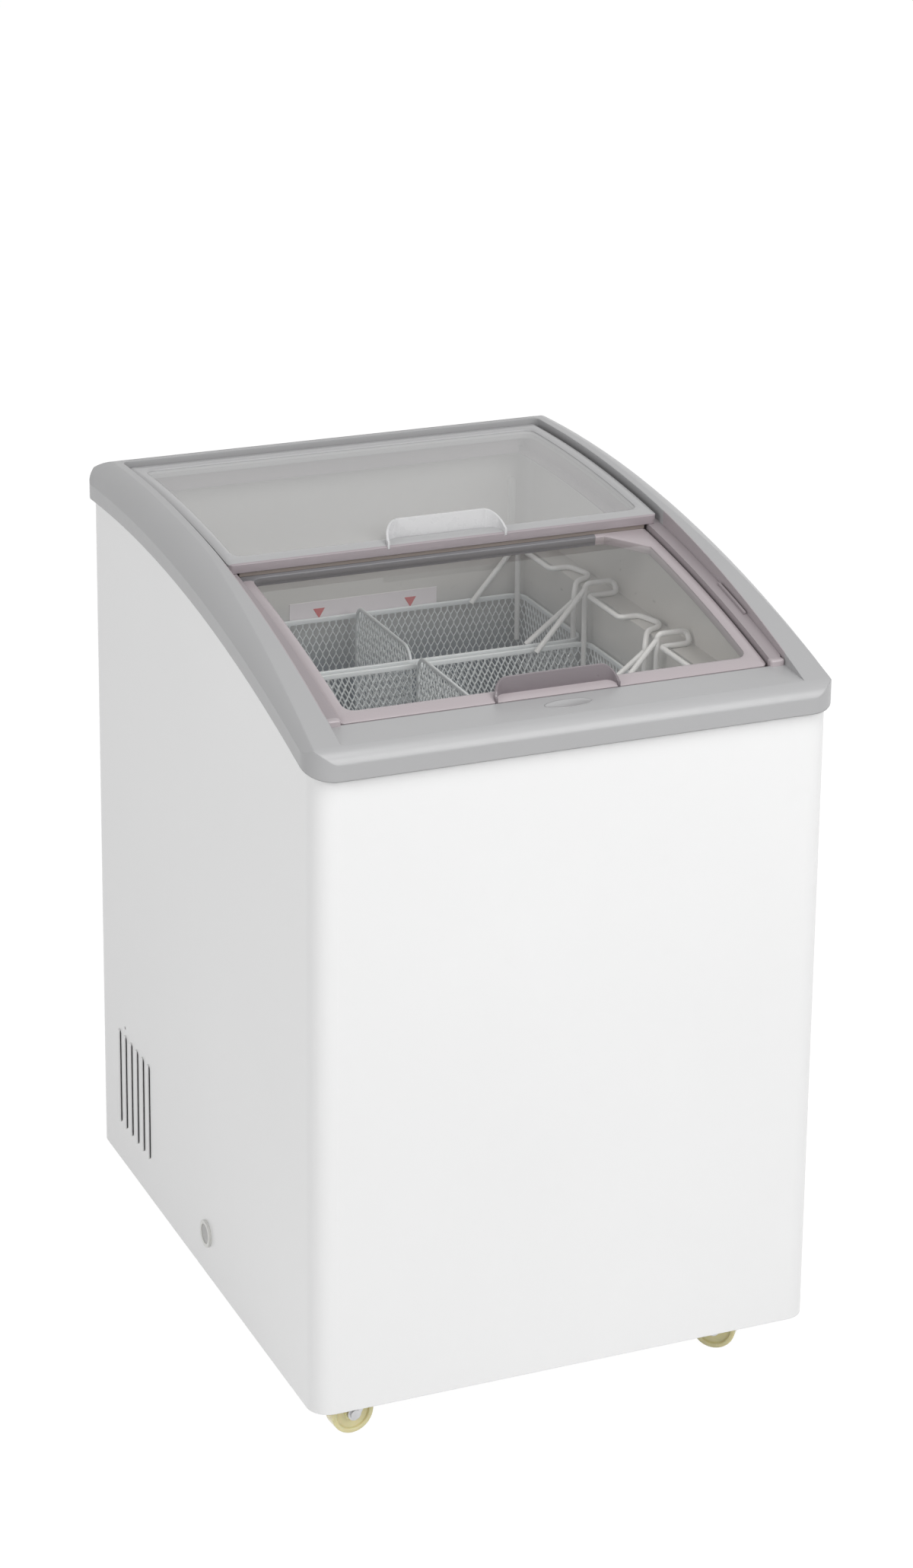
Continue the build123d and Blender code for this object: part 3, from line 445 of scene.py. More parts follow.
looks = {
    "cabinet": paintedSheet("cabinet_white", srgb(241, 241, 241)),
    "back": paintedSheet("back_white", srgb(228, 228, 228), rough=0.4),
    "collar": mouldedPlastic(
        "collar_grey",
        srgb(172, 172, 173),
        rough=0.34,
        grain=0.07,
        edge=0.0022,
        coat=0.12,
        second=srgb(172, 164, 167),
        where=onCollarWall,
    ),
    "rearLid": mouldedPlastic(
        "rear_lid_grey",
        srgb(176, 176, 177),
        rough=0.32,
        grain=0.06,
        edge=0.0008,
        coat=0.2,
        second=srgb(162, 153, 157),
        where=onRearLidBorder,
    ),
    # the front lid's second shade is painted shade, dark grey on its rear border
    "frontLid": mouldedPlastic(
        "front_lid_grey_painted_shade",
        srgb(176, 167, 170),
        rough=0.34,
        grain=0.06,
        edge=0.0008,
        coat=0.2,
        second=srgb(124, 123, 126),
        where=onFrontLidPaintedShade,
    ),
    "rail": mouldedPlastic("rail_grey", srgb(158, 150, 153), rough=0.4, edge=0.0008),
    "frontHandle": mouldedPlastic(
        "front_handle_grey", srgb(124, 116, 120), rough=0.3, grain=0.05, edge=0.0008, coat=0.2
    ),
    "rearHandle": mouldedPlastic(
        "rear_handle_pale", srgb(208, 208, 209), rough=0.28, grain=0.05, edge=0.0008, coat=0.2
    ),
    # the lining carries painted shade, bluer and darker towards the tank's bottom
    "liner": tankPlastic(
        "liner_pale_painted_shade", srgb(220, 218, 214), paintedShadeColour=srgb(86, 107, 124), paintedShadeBelow=0.735, fade=9.0
    ),
    "glass": curvedGlass("lid_glass", tint=(0.99, 0.986, 0.98), haze=0.008),
    "rearGlass": curvedGlass("rear_lid_glass", tint=(0.985, 0.985, 0.985), haze=0.24),
    "wire": dippedWire("wire_white", srgb(250, 250, 249)),
    "mesh": dippedWire("mesh_white", srgb(239, 244, 246), rough=0.36),
    "strip": mouldedPlastic(
        "strip_pale", srgb(238, 232, 236), rough=0.4, grain=0.05, edge=0.0002
    ),
    "mark": mouldedPlastic("mark_red", srgb(205, 62, 64), rough=0.4, grain=0.05, edge=0.0002),
    "wheel": wheelPlastic("wheel_yellow"),
    "steel": metalSheet("plated_steel", (0.66, 0.66, 0.67), rough=0.32),
    "dullSteel": metalSheet("zinc_sheet", (0.52, 0.53, 0.54), rough=0.45),
    "tube": metalSheet("coated_tube", (0.32, 0.27, 0.23), rough=0.4),
    "aluminium": metalSheet("aluminium_tube", (0.76, 0.77, 0.78), rough=0.35),
    "copper": metalSheet("copper_tube", (0.82, 0.47, 0.34), rough=0.3),
    "blackPaint": paintedSheet("compressor_black", (0.02, 0.02, 0.022), rough=0.35, peel=0.15),
    "blackPlastic": mouldedPlastic("black_plastic", (0.025, 0.025, 0.027), rough=0.45),
    "whitePlastic": mouldedPlastic("white_plastic", srgb(224, 224, 220), rough=0.35),
    "grille": paintedSheet("grille_grey", srgb(170, 171, 172), rough=0.45, peel=0.1),
    "rubber": softRubber("black_rubber", (0.03, 0.03, 0.03)),
    "seal": softRubber("seal_brown", srgb(140, 130, 124), rough=0.5),
    "paleRubber": softRubber("pale_rubber", srgb(196, 196, 194), rough=0.5),
    "foam": foamFill("foam_fill"),
}
print("looks made:", len(looks))

# looks for the CAD nodes that stay
nodeLooks = {
    "cabinet_shell": "cabinet",
    "back_panel": "back",
    "rear_grille": "grille",
    "grille_screws": "steel",
    "base_tray": "dullSteel",
    "collar_frame": "collar",
    "side_track_left": "rail",
    "side_track_right": "rail",
    "cross_rails": "rail",
    "track_strips": "rail",
    "inner_liner": "liner",
    "foam_insulation": "foam",
    "compressor_bulkhead": "dullSteel",
    "evaporator_tube": "aluminium",
    "condenser_tube": "tube",
    "compressor": "blackPaint",
    "compressor_feet": "rubber",
    "start_relay": "blackPlastic",
    "filter_drier": "copper",
    "refrigerant_pipes": "copper",
    "thermostat_body": "whitePlastic",
    "thermostat_knob": "blackPlastic",
    "cord_gland": "rubber",
    "drain_tube": "whitePlastic",
    "drain_ring": "whitePlastic",
    "drain_plug": "paleRubber",
    "drain_cap": "paleRubber",
    "sensor_cover": "whitePlastic",
    "castor_plates": "steel",
    "castor_screws": "steel",
    "rear_lid_glass": "rearGlass",
    "front_lid_glass": "glass",
    "rear_lid_seal": "seal",
    "front_lid_seal": "seal",
}
for corner in ("front_left", "front_right", "rear_left", "rear_right"):
    nodeLooks["castor_fork_" + corner] = "steel"
    nodeLooks["castor_axle_" + corner] = "steel"
for node, look in nodeLooks.items():
    mesh = nodes[node].data
    mesh.materials.clear()
    mesh.materials.append(looks[look])
print("CAD nodes dressed:", len(nodeLooks))

# lid frames: cut and rounded flat, then bent about the far axis
lidFrames = {
    "rear": {
        "half": 0.262,
        "front": -0.008,
        "rear": 0.340,
        "bottom": 2.0610,
        "side": 0.0135,
        "frontBorder": 0.021,
        "rearBorder": 0.020,
        "web": (0.013, 8),
    },
    "front": {
        "half": 0.250,
        "front": -0.312,
        "rear": 0.022,
        "bottom": 2.0430,
        "side": 0.0142,
        "frontBorder": 0.020,
        "rearBorder": 0.029,
        "web": (0.040, 1),
    },
    "thickness": 0.012,
    "corner": (0.006, 5),
    "windowCorner": (0.013, 8),
    "lip": 0.0040,
    "rise": 0.0016,
    "roundTop": 0.0025,
    "cuts": 26,
}


def bendAboutAxis(piece, radius, angle, middleAngle):
    # the flat piece stands in XZ with its outer side towards -Y
    modify(piece, "SIMPLE_DEFORM", deform_method="BEND", deform_axis="X", angle=angle)
    turn = -math.pi / 2 - middleAngle
    piece.rotation_euler[0] = turn
    y = curve["y"] - radius * math.cos(turn)
    z = curve["z"] - radius * math.sin(turn)
    piece.location = (0, y, z)
    settle(piece)


def outline(spanX, spanZ, corners):
    # a closed loop of edges standing in XZ, each corner with its own offset and segments
    bpy.ops.mesh.primitive_plane_add(size=1, rotation=standing)
    piece = current()
    piece.scale = (spanX[1] - spanX[0], spanZ[1] - spanZ[0], 1)
    piece.location = (sum(spanX) / 2, 0, sum(spanZ) / 2)
    settle(piece)
    edit()
    for (x, z), (offset, segments) in corners.items():
        spot = Vector((spanX[x], 0, spanZ[z]))
        pick("VERT", lambda vert: (vert.co - spot).length < near)
        roundVerts(offset, segments)
    pickAll()
    bpy.ops.mesh.delete(type="ONLY_FACE")
    leave()
    return piece


def lidFrame(row):
    size = lidFrames[row]
    thick = lidFrames["thickness"]
    bottom = size["bottom"]
    start = math.asin((size["front"] - curve["y"]) / (bottom + thick))
    stop = math.asin((size["rear"] - curve["y"]) / (bottom + thick))
    length = bottom * (stop - start)
    half = size["half"]
    rounded = {(x, z): lidFrames["corner"] for x in (0, 1) for z in (0, 1)}
    outer = outline((-half, half), (-length / 2, length / 2), rounded)
    innerX = half - size["side"]
    window = {spot: lidFrames["windowCorner"] for spot in rounded}
    window[(1, 1)] = size["web"]
    innerZ = (size["frontBorder"] - length / 2, length / 2 - size["rearBorder"])
    inner = outline((-innerX, innerX), innerZ, window)
    piece = together([outer, inner])
    edit()
    pickAll()
    bpy.ops.mesh.fill()
    pickAll()
    extrude(0, lidFrames["rise"] - thick, 0)
    bpy.ops.mesh.inset(thickness=lidFrames["lip"])
    bpy.ops.transform.translate(value=(0, -lidFrames["rise"], 0))
    leave()
    outward(piece)
    soften(piece, lidFrames["roundTop"], segments=4, angle=50)
    edit()
    for index in range(1, lidFrames["cuts"]):
        cut((0, 0, length * (index / lidFrames["cuts"] - 0.5)), (0, 0, 1))
    leave()
    bendAboutAxis(piece, bottom, length / bottom, (start + stop) / 2)
    outward(piece)
    smooth(piece, 40)
    return title(piece, row + "_lid_rim")


for row in ("rear", "front"):
    node = row + "_lid_frame"
    place(lidFrame(row), row + "_lid", [node], node, looks[row + "Lid"])
print("lid frames made")

# scoop handles
handles = {
    "rear": {"front": -0.008, "depth": 0.025, "height": 0.020, "lidTop": 2.0730},
    "front": {"front": -0.312, "depth": 0.014, "height": 0.018, "lidTop": 2.0550},
    "half": 0.073,
    "wall": 0.0028,
    "shoulder": 0.020,
    "shoulderTurns": range(10, 90, 10),
    "sink": 0.004,
    "sideRound": 0.98,
    "edge": 0.0009,
}


def heightOn(radius, y):
    return curve["z"] + math.sqrt(radius**2 - (y - curve["y"]) ** 2)


def backFacesFront(piece, back):
    # true if the back wall's normal points to the front
    for face in piece.data.polygons:
        if face.center.y > back - near and abs(face.center.x) < handles["shoulder"]:
            return face.normal.y < 0
    return False


def scoopHandle(row):
    size = handles[row]
    half = handles["half"]
    back = size["front"] + size["depth"]
    top = heightOn(size["lidTop"], back) + size["height"]
    foot = heightOn(size["lidTop"], size["front"]) - handles["sink"]
    piece = boxBetween((-half, half), (size["front"], back), (foot, top))
    edit()
    pick("FACE", lambda face: face.normal.y < -facing or abs(face.normal.z) > facing)
    bpy.ops.mesh.delete(type="FACE")
    pick(
        "EDGE",
        lambda edge: middleOf(edge).y > back - near and abs(abs(middleOf(edge).x) - half) < near,
    )
    bpy.ops.mesh.bevel(offset=size["depth"] * handles["sideRound"], segments=12, affect="EDGES")
    shoulder = handles["shoulder"]
    for side in (-1, 1):
        centre = Vector((side * (half - shoulder), 0, top - shoulder))
        roundOff(centre, shoulder, side, handles["shoulderTurns"])
    leave()
    outward(piece)
    inner = 1.0 if backFacesFront(piece, back) else -1.0
    modify(piece, "SOLIDIFY", thickness=handles["wall"], offset=inner)
    outward(piece)
    soften(piece, handles["edge"], angle=50)
    smooth(piece, 40)
    return title(piece, row + "_lid_scoop")


for row in ("rear", "front"):
    node = row + "_lid_handle"
    place(scoopHandle(row), row + "_lid", [node], node, looks[row + "Handle"])
print("handles made")

# expanded mesh for the baskets and dividers
expanded = {"wide": 0.0086, "tall": 0.0190, "side": 0.0016, "strand": 0.0019}


def repeat(piece, count, step):
    modify(
        piece,
        "ARRAY",
        count=count,
        use_relative_offset=False,
        use_constant_offset=True,
        constant_offset_displace=step,
        use_merge_vertices=True,
        merge_threshold=0.0001,
    )


def expandedSheet(length, height, wide):
    # a flat sheet of six-sided openings, standing in XZ from x = 0 and z = 0
    rise = expanded["tall"] / 2
    peak = rise - expanded["side"]
    slim = wide / 2 / (1 - expanded["side"] / peak)
    bpy.ops.mesh.primitive_circle_add(
        vertices=4, radius=1, fill_type="NGON", rotation=standing
    )
    piece = current()
    piece.scale = (slim, peak, 1)
    settle(piece)
    edit()
    pick("VERT", lambda vert: abs(vert.co.z) < near)
    roundVerts(expanded["side"] * math.hypot(slim, peak) / peak)
    leave()
    repeat(piece, math.ceil(length / wide) + 2, (wide, 0, 0))
    repeat(piece, 2, (wide / 2, 0, rise))
    repeat(piece, math.ceil(height / (2 * rise)) + 2, (0, 0, 2 * rise))
    piece.location = (-wide, 0, -2 * rise)
    settle(piece)
    edit()
    cut((0, 0, 0), (-1, 0, 0), clear_outer=True)
    cut((length, 0, 0), (1, 0, 0), clear_outer=True)
    cut((0, 0, 0), (0, 0, -1), clear_outer=True)
    cut((0, 0, height), (0, 0, 1), clear_outer=True)
    leave()
    return piece


def strands(piece):
    modify(
        piece,
        "WIREFRAME",
        thickness=expanded["strand"],
        use_even_offset=False,
        use_boundary=True,
        use_replace=True,
    )


# baskets: two bands, walls and a floor, made for the rear one
baskets = {
    "half": 0.228,
    "length": 0.182,
    "pitch": 0.194,
    "middle": 0.203,
    "rim": 0.713,
    "depth": 0.200,
    "corner": 0.018,
    "floorCorner": 0.3,
    "wall": 0.002,
    "band": 0.0065,
    "bandWide": 0.0035,
    "bandEdge": 0.0013,
    "footBand": 0.005,
    "footEdge": 0.0006,
}


def basketOutline(grow):
    # a rounded rectangle, flat at z = 0
    bpy.ops.mesh.primitive_plane_add(size=1)
    piece = current()
    piece.scale = (2 * (baskets["half"] + grow), baskets["length"] + 2 * grow, 1)
    settle(piece)
    edit()
    bpy.ops.mesh.select_mode(type="VERT")
    pickAll()
    roundVerts(baskets["corner"] + grow, segments=8)
    pickAll()
    bpy.ops.mesh.delete(type="ONLY_FACE")
    leave()
    return piece


def meshWalls():
    path = basketOutline(-baskets["wall"] / 2)
    spots = [vert.co for vert in path.data.vertices]
    ends = [edge.vertices for edge in path.data.edges]
    around = sum((spots[first] - spots[second]).length for first, second in ends)
    only(path)
    bpy.ops.object.convert(target="CURVE")
    path = current()
    count = round(around / expanded["wide"])
    piece = expandedSheet(around, baskets["depth"] - baskets["wall"], around / count)
    modify(piece, "CURVE", object=path, deform_axis="POS_X")
    bpy.data.objects.remove(path)
    only(piece)
    edit()
    pickAll()
    bpy.ops.mesh.remove_doubles(threshold=0.0002)
    leave()
    strands(piece)
    lowest = min(vert.co.z for vert in piece.data.vertices)
    piece.location.z = -baskets["depth"] - lowest
    settle(piece)
    return piece


def meshFloor():
    length = 2 * baskets["half"] - 2 * baskets["wall"]
    depth = baskets["length"] - 2 * baskets["wall"]
    piece = expandedSheet(length, depth, expanded["wide"])
    piece.rotation_euler[0] = -math.pi / 2
    piece.location = (-length / 2, -depth / 2, 0)
    settle(piece)
    edit()
    reach = baskets["corner"] * baskets["floorCorner"]
    for side in (-1, 1):
        for end in (-1, 1):
            corner = (side * (length / 2 - reach), end * (depth / 2 - reach), 0)
            cut(corner, (side, end, 0), clear_outer=True)
    leave()
    strands(piece)
    piece.location.z = -baskets["depth"] + expanded["strand"] / 2
    settle(piece)
    return piece


def band(high, low, wide, grow, edge):
    # an upright strip round the basket, from a height down to another
    piece = basketOutline(grow)
    edit()
    pickAll()
    extrude(0, 0, low - high)
    pickAll()
    bpy.ops.mesh.normals_make_consistent(inside=False)
    leave()
    modify(piece, "SOLIDIFY", thickness=wide, offset=-1)
    outward(piece)
    soften(piece, edge, angle=50)
    piece.location.z = high
    settle(piece)
    return piece


def basket():
    bottom = -baskets["depth"]
    grow = baskets["bandWide"] - baskets["wall"]
    rim = band(0, -baskets["band"], baskets["bandWide"], grow, baskets["bandEdge"])
    foot = band(
        bottom + baskets["footBand"], bottom, baskets["wall"], 0, baskets["footEdge"]
    )
    piece = together([rim, foot, meshWalls(), meshFloor()])
    piece.location = (0, baskets["middle"], baskets["rim"])
    settle(piece)
    smooth(piece)
    return title(piece, "basket_rear_mesh")


# dividers: a rounded edging round a mesh sheet, across the basket
dividers = {
    "x": 0.008,
    "length": 0.176,
    "low": 0.5153,
    "high": 0.726,
    "corner": 0.022,
    "cornerTurns": (15, 35, 55, 75),
    "frame": 0.0042,
    "thick": 0.0036,
    "edge": 0.0015,
}


def divider():
    length = dividers["length"]
    height = dividers["high"] - dividers["low"]
    bpy.ops.mesh.primitive_plane_add(size=1, rotation=standing)
    edging = current()
    edging.scale = (length, height, 1)
    settle(edging)
    edit()
    pick("VERT", lambda vert: vert.co.z > 0)
    roundVerts(dividers["corner"], segments=10)
    pickAll()
    bpy.ops.mesh.inset(thickness=dividers["frame"])
    bpy.ops.mesh.delete(type="FACE")
    pickAll()
    extrude(0, dividers["thick"], 0)
    leave()
    outward(edging)
    soften(edging, dividers["edge"], segments=4, angle=50)
    edging.location.y = -dividers["thick"] / 2
    settle(edging)
    margin = dividers["frame"] / 2
    wide = length - 2 * margin
    tall = height - 2 * margin
    sheet = expandedSheet(wide, tall, expanded["wide"])
    edit()
    reach = dividers["corner"] - margin
    for side, middleX in ((-1, reach), (1, wide - reach)):
        roundOff(Vector((middleX, 0, tall - reach)), reach, side, dividers["cornerTurns"])
    leave()
    strands(sheet)
    sheet.location = (-wide / 2, 0, -tall / 2)
    settle(sheet)
    piece = together([edging, sheet])
    piece.rotation_euler[2] = math.pi / 2
    middleZ = (dividers["low"] + dividers["high"]) / 2
    piece.location = (dividers["x"], baskets["middle"], middleZ)
    settle(piece)
    smooth(piece)
    return title(piece, "divider_rear_mesh")


# wire hangers of the rear basket
hangers = {
    "wire": 0.0033,
    "inner": 0.2187,
    "outer": 0.2560,
    "shoulder": 0.2440,
    "slant": 0.2540,
    "elbow": 0.2470,
    "tuck": 0.2290,
    "rear": 0.2847,
    "front": 0.1213,
    "foot": 0.656,
    "top": 0.7754,
    "rise": 0.012,
    "step": 0.010,
    "runEnd": 0.1900,
    "slantEnd": 0.1570,
    "elbowEnd": 0.1440,
    "tuckEnd": 0.1370,
    "dip": 0.012,
    "bend": 0.0065,
    "braceFoot": 0.157,
    "braceLow": 0.7099,
}


def hangerSide(side):
    # one bent wire along a side, hooked over the tank's ledge at both ends, and two braces
    inner, outer = side * hangers["inner"], side * hangers["outer"]
    rear, front, top = hangers["rear"], hangers["front"], hangers["top"]
    high = top + hangers["rise"]
    low = top - hangers["dip"]
    points = [
        (inner, rear, hangers["foot"]),
        (inner, rear, high),
        (outer, rear, high),
        (outer, rear - hangers["step"], top),
        (inner, rear - hangers["step"], top),
        (inner, hangers["runEnd"], top),
        (side * hangers["shoulder"], hangers["runEnd"], top),
        (side * hangers["slant"], hangers["slantEnd"], top),
        (side * hangers["elbow"], hangers["elbowEnd"], top),
        (side * hangers["tuck"], hangers["tuckEnd"], top),
        (inner, front, low),
        (inner, front, hangers["foot"]),
    ]
    edges = [(index, index + 1) for index in range(len(points) - 1)]
    for y, peak in ((rear, high), (front, low)):
        edges.append((len(points), len(points) + 1))
        points.append((inner, y, peak - hangers["bend"]))
        points.append((side * hangers["braceFoot"], y, hangers["braceLow"]))
    mesh = bpy.data.meshes.new("hanger_path")
    mesh.from_pydata(points, edges, [])
    piece = bpy.data.objects.new("hanger_path", mesh)
    bpy.context.collection.objects.link(piece)
    only(piece)
    edit()
    pick("VERT", lambda vert: len(vert.link_edges) == 2)
    roundVerts(hangers["bend"], segments=6)
    leave()
    bpy.ops.object.convert(target="CURVE")
    piece = current()
    piece.data.bevel_depth = hangers["wire"]
    piece.data.bevel_resolution = 4
    piece.data.use_fill_caps = True
    bpy.ops.object.convert(target="MESH")
    return current()


def hanger():
    piece = together([hangerSide(-1), hangerSide(1)])
    outward(piece)
    smooth(piece, 50)
    return title(piece, "hangers_rear_wires")


# the rear basket's pieces are made, and those of the other two are copies
rearHangers = hanger()
hung = {
    "basket": {"first": basket(), "ending": "_mesh", "body": "basket_", "look": "mesh"},
    "divider": {"first": divider(), "ending": "_mesh", "body": "divider_", "look": "mesh"},
    "hangers": {"first": rearHangers, "ending": "_wires", "body": "basket_", "look": "wire"},
}
for index, row in enumerate(("rear", "middle", "front")):
    for kind, how in hung.items():
        piece = how["first"]
        node = kind + "_" + row
        if index > 0:
            piece = another(piece, node + how["ending"], (0, -index * baskets["pitch"], 0))
        place(piece, how["body"] + row + "_body", [node], node, looks[how["look"]])
print("baskets made:", len(hung["basket"]["first"].data.polygons), "faces each")

# louvre hoods on the left side, each beside its slot
hoods = {
    "count": 6,
    "side": -0.300,
    "rear": 0.2894,
    "pitch": 0.0216,
    "low": 0.0955,
    "high": 0.2195,
    "wide": 0.0062,
    "endRound": 0.48,
    "rise": 0.0024,
    "edge": 0.8,
}


def louvreHood():
    # a flat bead with round ends that stands off the side
    bpy.ops.mesh.primitive_plane_add(size=1, rotation=(0, -math.pi / 2, 0))
    piece = current()
    piece.scale = (hoods["high"] - hoods["low"], hoods["wide"], 1)
    settle(piece)
    edit()
    pickAll()
    roundVerts(hoods["wide"] * hoods["endRound"], segments=8)
    pickAll()
    extrude(-hoods["rise"], 0, 0)
    leave()
    outward(piece)
    soften(piece, hoods["rise"] * hoods["edge"], segments=4, angle=50)
    smooth(piece, 50)
    return title(piece, "hood_pattern")


firstHood = louvreHood()
for index in range(hoods["count"]):
    y = hoods["rear"] - index * hoods["pitch"]
    spot = (hoods["side"], y, (hoods["low"] + hoods["high"]) / 2)
    hood = another(firstHood, "louvre_hood_" + str(index + 1), spot)
    place(hood, "cabinet", look=looks["cabinet"])
bpy.data.objects.remove(firstHood)

# the badge seat on the collar's front
badge = {
    "place": (0, -0.338),
    "half": (0.028, 0.010),
    "thick": 0.0005,
    "rim": 0.0012,
    "sunk": 0.00035,
    "edge": 0.0003,
    "above": 2,
}


def surfaceAt(node, x, y):
    # the place and slope of a node's upper side, found from above
    hit = nodes[node].ray_cast(Vector((x, y, badge["above"])), Vector((0, 0, -1)))
    return hit[1], hit[2]


def badgeSeat():
    # a bare oval seat, sunk inside a low rim
    spot, normal = surfaceAt("collar_frame", *badge["place"])
    bpy.ops.mesh.primitive_cylinder_add(vertices=64, radius=1, depth=1)
    piece = current()
    piece.scale = (*badge["half"], 2 * badge["thick"])
    settle(piece)
    edit()
    pick("FACE", lambda face: face.normal.z > facing)
    bpy.ops.mesh.inset(thickness=badge["rim"])
    extrude(0, 0, -badge["sunk"])
    leave()
    outward(piece)
    soften(piece, badge["edge"], segments=2, angle=50)
    smooth(piece, 50)
    piece.rotation_euler = normal.to_track_quat("Z", "Y").to_euler()
    piece.location = spot
    settle(piece)
    return title(piece, "badge_seat")


place(badgeSeat(), "cabinet", look=looks["collar"])

# the opening's front lip: spans along x, y and z
lip = {
    "bead": ((-0.2675, 0.2675), (-0.3178, -0.3133), (0.796, 0.8125)),
    "beadEdge": 0.0012,
    "ear": ((0.2506, 0.2678), (-0.3190, -0.3088), (0.796, 0.8226)),
    "earEdge": 0.0028,
}


def openingLip():
    # a bead along the opening's front, with an ear that closes each corner over the track's end
    (earInner, earOuter), *earRest = lip["ear"]
    bars = [
        (boxBetween(*lip["bead"]), lip["beadEdge"]),
        (boxBetween((-earOuter, -earInner), *earRest), lip["earEdge"]),
        (boxBetween(*lip["ear"]), lip["earEdge"]),
    ]
    for bar, edge in bars:
        soften(bar, edge, segments=5)
    piece = together([bar for bar, edge in bars])
    smooth(piece, 40)
    return title(piece, "opening_lip")


place(openingLip(), "cabinet", look=looks["frontLid"])

# the load strip: a thin sheet on the tank's back wall, with two marks
strip = {
    "span": (-0.074, 0.118),
    "heights": (0.706, 0.731),
    "back": 0.302,
    "thick": 0.0008,
    "edge": 0.0002,
    "marks": (-0.036, 0.083),
    "markHalf": 0.0076,
    "markHeights": (0.7095, 0.7220),
    "markThick": 0.0003,
}


def loadSheet():
    front = strip["back"] - strip["thick"]
    piece = boxBetween(strip["span"], (front, strip["back"]), strip["heights"])
    soften(piece, strip["edge"], segments=2)
    return title(piece, "load_sheet")


def loadMark(index):
    # a triangle that points down to the load line
    low, high = strip["markHeights"]
    tall = (high - low) / 1.5  # a three-sided circle reaches from -1 to 0.5
    bpy.ops.mesh.primitive_circle_add(
        vertices=3, radius=1, fill_type="NGON", rotation=(-math.pi / 2, 0, 0)
    )
    piece = current()
    settle(piece)
    edit()
    pickAll()
    extrude(0, -strip["markThick"], 0)
    leave()
    piece.scale = (strip["markHalf"] / math.cos(math.radians(30)), 1, tall)
    piece.location = (strip["marks"][index], strip["back"] - strip["thick"], high - tall / 2)
    settle(piece)
    outward(piece)
    return title(piece, "load_mark_" + str(index + 1))


loadNode = "load_line_strip"
place(loadSheet(), "cabinet", [loadNode], loadNode, looks["strip"])
for index in range(len(strip["marks"])):
    place(loadMark(index), "cabinet", [loadNode], loadNode, looks["mark"])
print("trims made")

# castor wheels
wheels = {
    "radius": 0.025,
    "width": 0.020,
    "tread": 0.0055,
    "web": 0.0100,
    "webSink": 0.0035,
    "hubRise": 0.0032,
    "bore": 0.0033,
    "edge": 0.0018,
    "trail": 0.020,
    "x": 0.225,
    "y": 0.330,
    "headings": {
        "front_left": (-1.0, -0.09),
        "front_right": (-0.77, 0.64),
        "rear_left": (-1.0, -0.09),
        "rear_right": (-0.77, 0.64),
    },
}


def wheel():
    # made at the origin with its axle along Y, its web sunk on both sides
    radius, width = wheels["radius"], wheels["width"]
    hub = radius - wheels["tread"] - wheels["web"] - wheels["bore"]
    bpy.ops.mesh.primitive_cylinder_add(vertices=72, radius=radius, depth=width, rotation=standing)
    piece = current()
    settle(piece)
    edit()
    for side in (-1, 1):
        pick(
            "FACE",
            lambda face: face.normal.y * side > facing and abs(middleOf(face).y) > width / 4,
        )
        bpy.ops.mesh.inset(thickness=wheels["tread"])
        extrude(0, -side * wheels["webSink"], 0)
        bpy.ops.mesh.inset(thickness=wheels["web"])
        extrude(0, side * wheels["hubRise"], 0)
        bpy.ops.mesh.inset(thickness=hub)
    bore = wheels["bore"]
    pick("FACE", lambda face: math.hypot(middleOf(face).x, middleOf(face).z) < bore / 2)
    bpy.ops.mesh.bridge_edge_loops()
    leave()
    outward(piece)
    soften(piece, wheels["edge"], segments=4, angle=50)
    smooth(piece, 40)
    return title(piece, "wheel_pattern")


firstWheel = wheel()
for corner, heading in wheels["headings"].items():
    far = Vector((*heading, 0)).normalized() * wheels["trail"]
    x = wheels["x"] if corner.endswith("right") else -wheels["x"]
    y = wheels["y"] if corner.startswith("rear") else -wheels["y"]
    turn = math.atan2(heading[1], heading[0])
    spot = (x + far.x, y + far.y, wheels["radius"])
    tyre = another(firstWheel, "wheel_" + corner + "_tyre", spot, turn)
    node = "castor_wheel_" + corner
    place(tyre, "wheel_" + corner, [node], node, looks["wheel"])
bpy.data.objects.remove(firstWheel)
print("wheels made")

# camera at the photograph's view
view = {
    "lens": 88.55,
    "sensor": 36,
    "yaw": 23.26,
    "pitch": 16.70,
    "roll": 0.62,
    "place": (-1.6260, -3.8136, 2.2200),
    "rise": -0.2,
    "farthest": 100,
}


def makeCamera():
    bpy.ops.object.camera_add(location=view["place"])
    camera = current()
    yaw = math.radians(view["yaw"])
    pitch = math.radians(view["pitch"])
    roll = math.radians(view["roll"])
    level = math.cos(pitch)
    ahead = Vector((math.sin(yaw) * level, math.cos(yaw) * level, -math.sin(pitch)))
    right = Vector((math.cos(yaw), -math.sin(yaw), 0))
    up = right.cross(ahead)
    acrossView = right * math.cos(roll) + up * math.sin(roll)
    upView = up * math.cos(roll) - right * math.sin(roll)
    turn = Matrix((acrossView, upView, -ahead)).transposed()
    camera.matrix_world = Matrix.Translation(view["place"]) @ turn.to_4x4()
    camera.data.lens = view["lens"]
    camera.data.sensor_width = view["sensor"]
    camera.data.sensor_fit = "AUTO"
    camera.data.shift_y = view["rise"]
    camera.data.clip_end = view["farthest"]
    bpy.context.scene.camera = camera


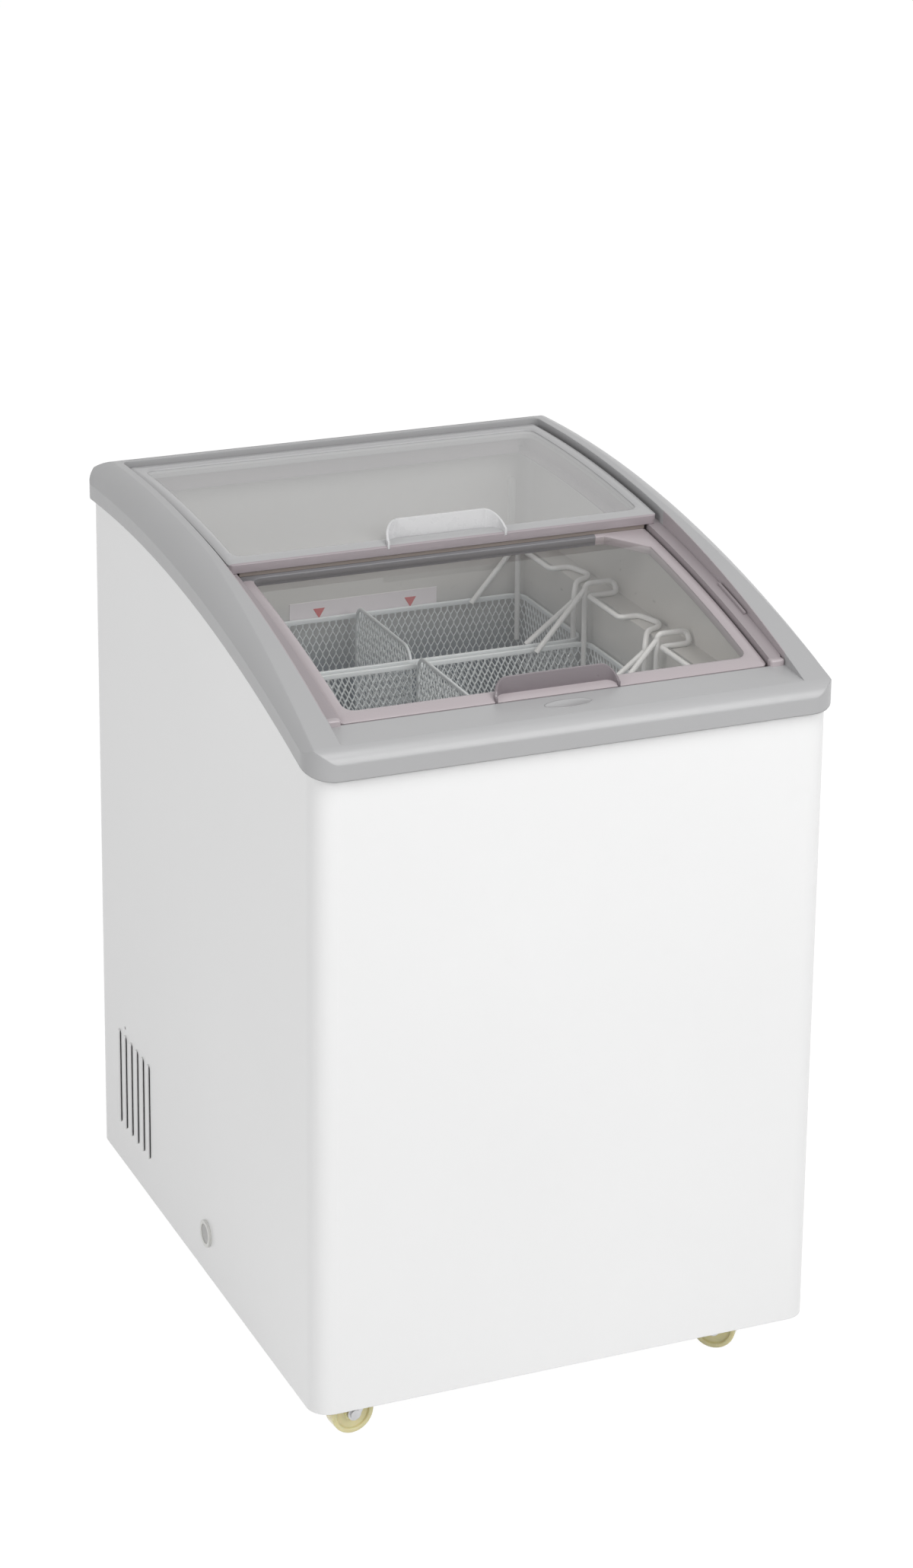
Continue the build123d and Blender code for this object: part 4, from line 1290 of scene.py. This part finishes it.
# floor, world and lamps
studio = {
    "floorSize": 60,
    "floorShade": (0.9, 0.9, 0.9),
    "floorGlow": 1.1,
    "floorGlowShare": 0.88,
    "worldLevel": 0.37,
    "white": (1, 1, 1),
    "aim": (0, 0, 0.5),
    "lamps": {
        "front": {"place": (1.3, -3.2, 2.5), "size": (1.8, 1.8), "watts": 52},
        "left": {"place": (-3.2, -1.2, 1.8), "size": (0.7, 2.0), "watts": 27},
        "top": {"place": (0.2, -1.7, 3.3), "size": (1.2, 1.2), "watts": 28},
    },
}


def seenOnly(paint):
    # 1 for what the camera, a gloss or glass sees, and 0 for the light that falls on the object
    seen = paint.add("ShaderNodeLightPath", {}, {}, "Is Camera Ray")
    return seen + seen.other("Is Glossy Ray") + seen.other("Is Transmission Ray")


def makeFloor():
    bpy.ops.mesh.primitive_plane_add(size=studio["floorSize"])
    floor = title(current(), "studio_floor")
    paint = Paint("floor_pale")
    lit = paint.add("ShaderNodeBsdfDiffuse", {}, {"Color": studio["floorShade"]})
    glowing = {"Color": studio["white"], "Strength": studio["floorGlow"]}
    glow = paint.add("ShaderNodeEmission", {}, glowing)
    share = seenOnly(paint) * studio["floorGlowShare"]
    mixed = paint.add("ShaderNodeMixShader", {}, {0: share, 1: lit, 2: glow})
    floor.data.materials.append(paint.finish(mixed))


def makeWorld():
    # white where it is seen, and dimmer as light on the object
    paint = Paint("studio", world=True)
    dim = paint.add("ShaderNodeBackground", {}, {0: studio["white"], 1: studio["worldLevel"]})
    white = paint.add("ShaderNodeBackground", {}, {0: studio["white"], 1: 1.0})
    mixed = paint.add("ShaderNodeMixShader", {}, {0: seenOnly(paint), 1: dim, 2: white})
    bpy.context.scene.world = paint.finish(mixed)


def makeLamps():
    for name, lamp in studio["lamps"].items():
        bpy.ops.object.light_add(type="AREA", location=lamp["place"])
        light = current()
        light.name = name + "_lamp"
        light.data.shape = "RECTANGLE"
        light.data.size, light.data.size_y = lamp["size"]
        light.data.energy = lamp["watts"]
        aim = Vector(studio["aim"]) - Vector(lamp["place"])
        light.rotation_euler = aim.to_track_quat("-Z", "Y").to_euler()


makeCamera()
makeFloor()
makeWorld()
makeLamps()
bpy.context.scene.view_settings.view_transform = "Standard"
print("camera and studio set")
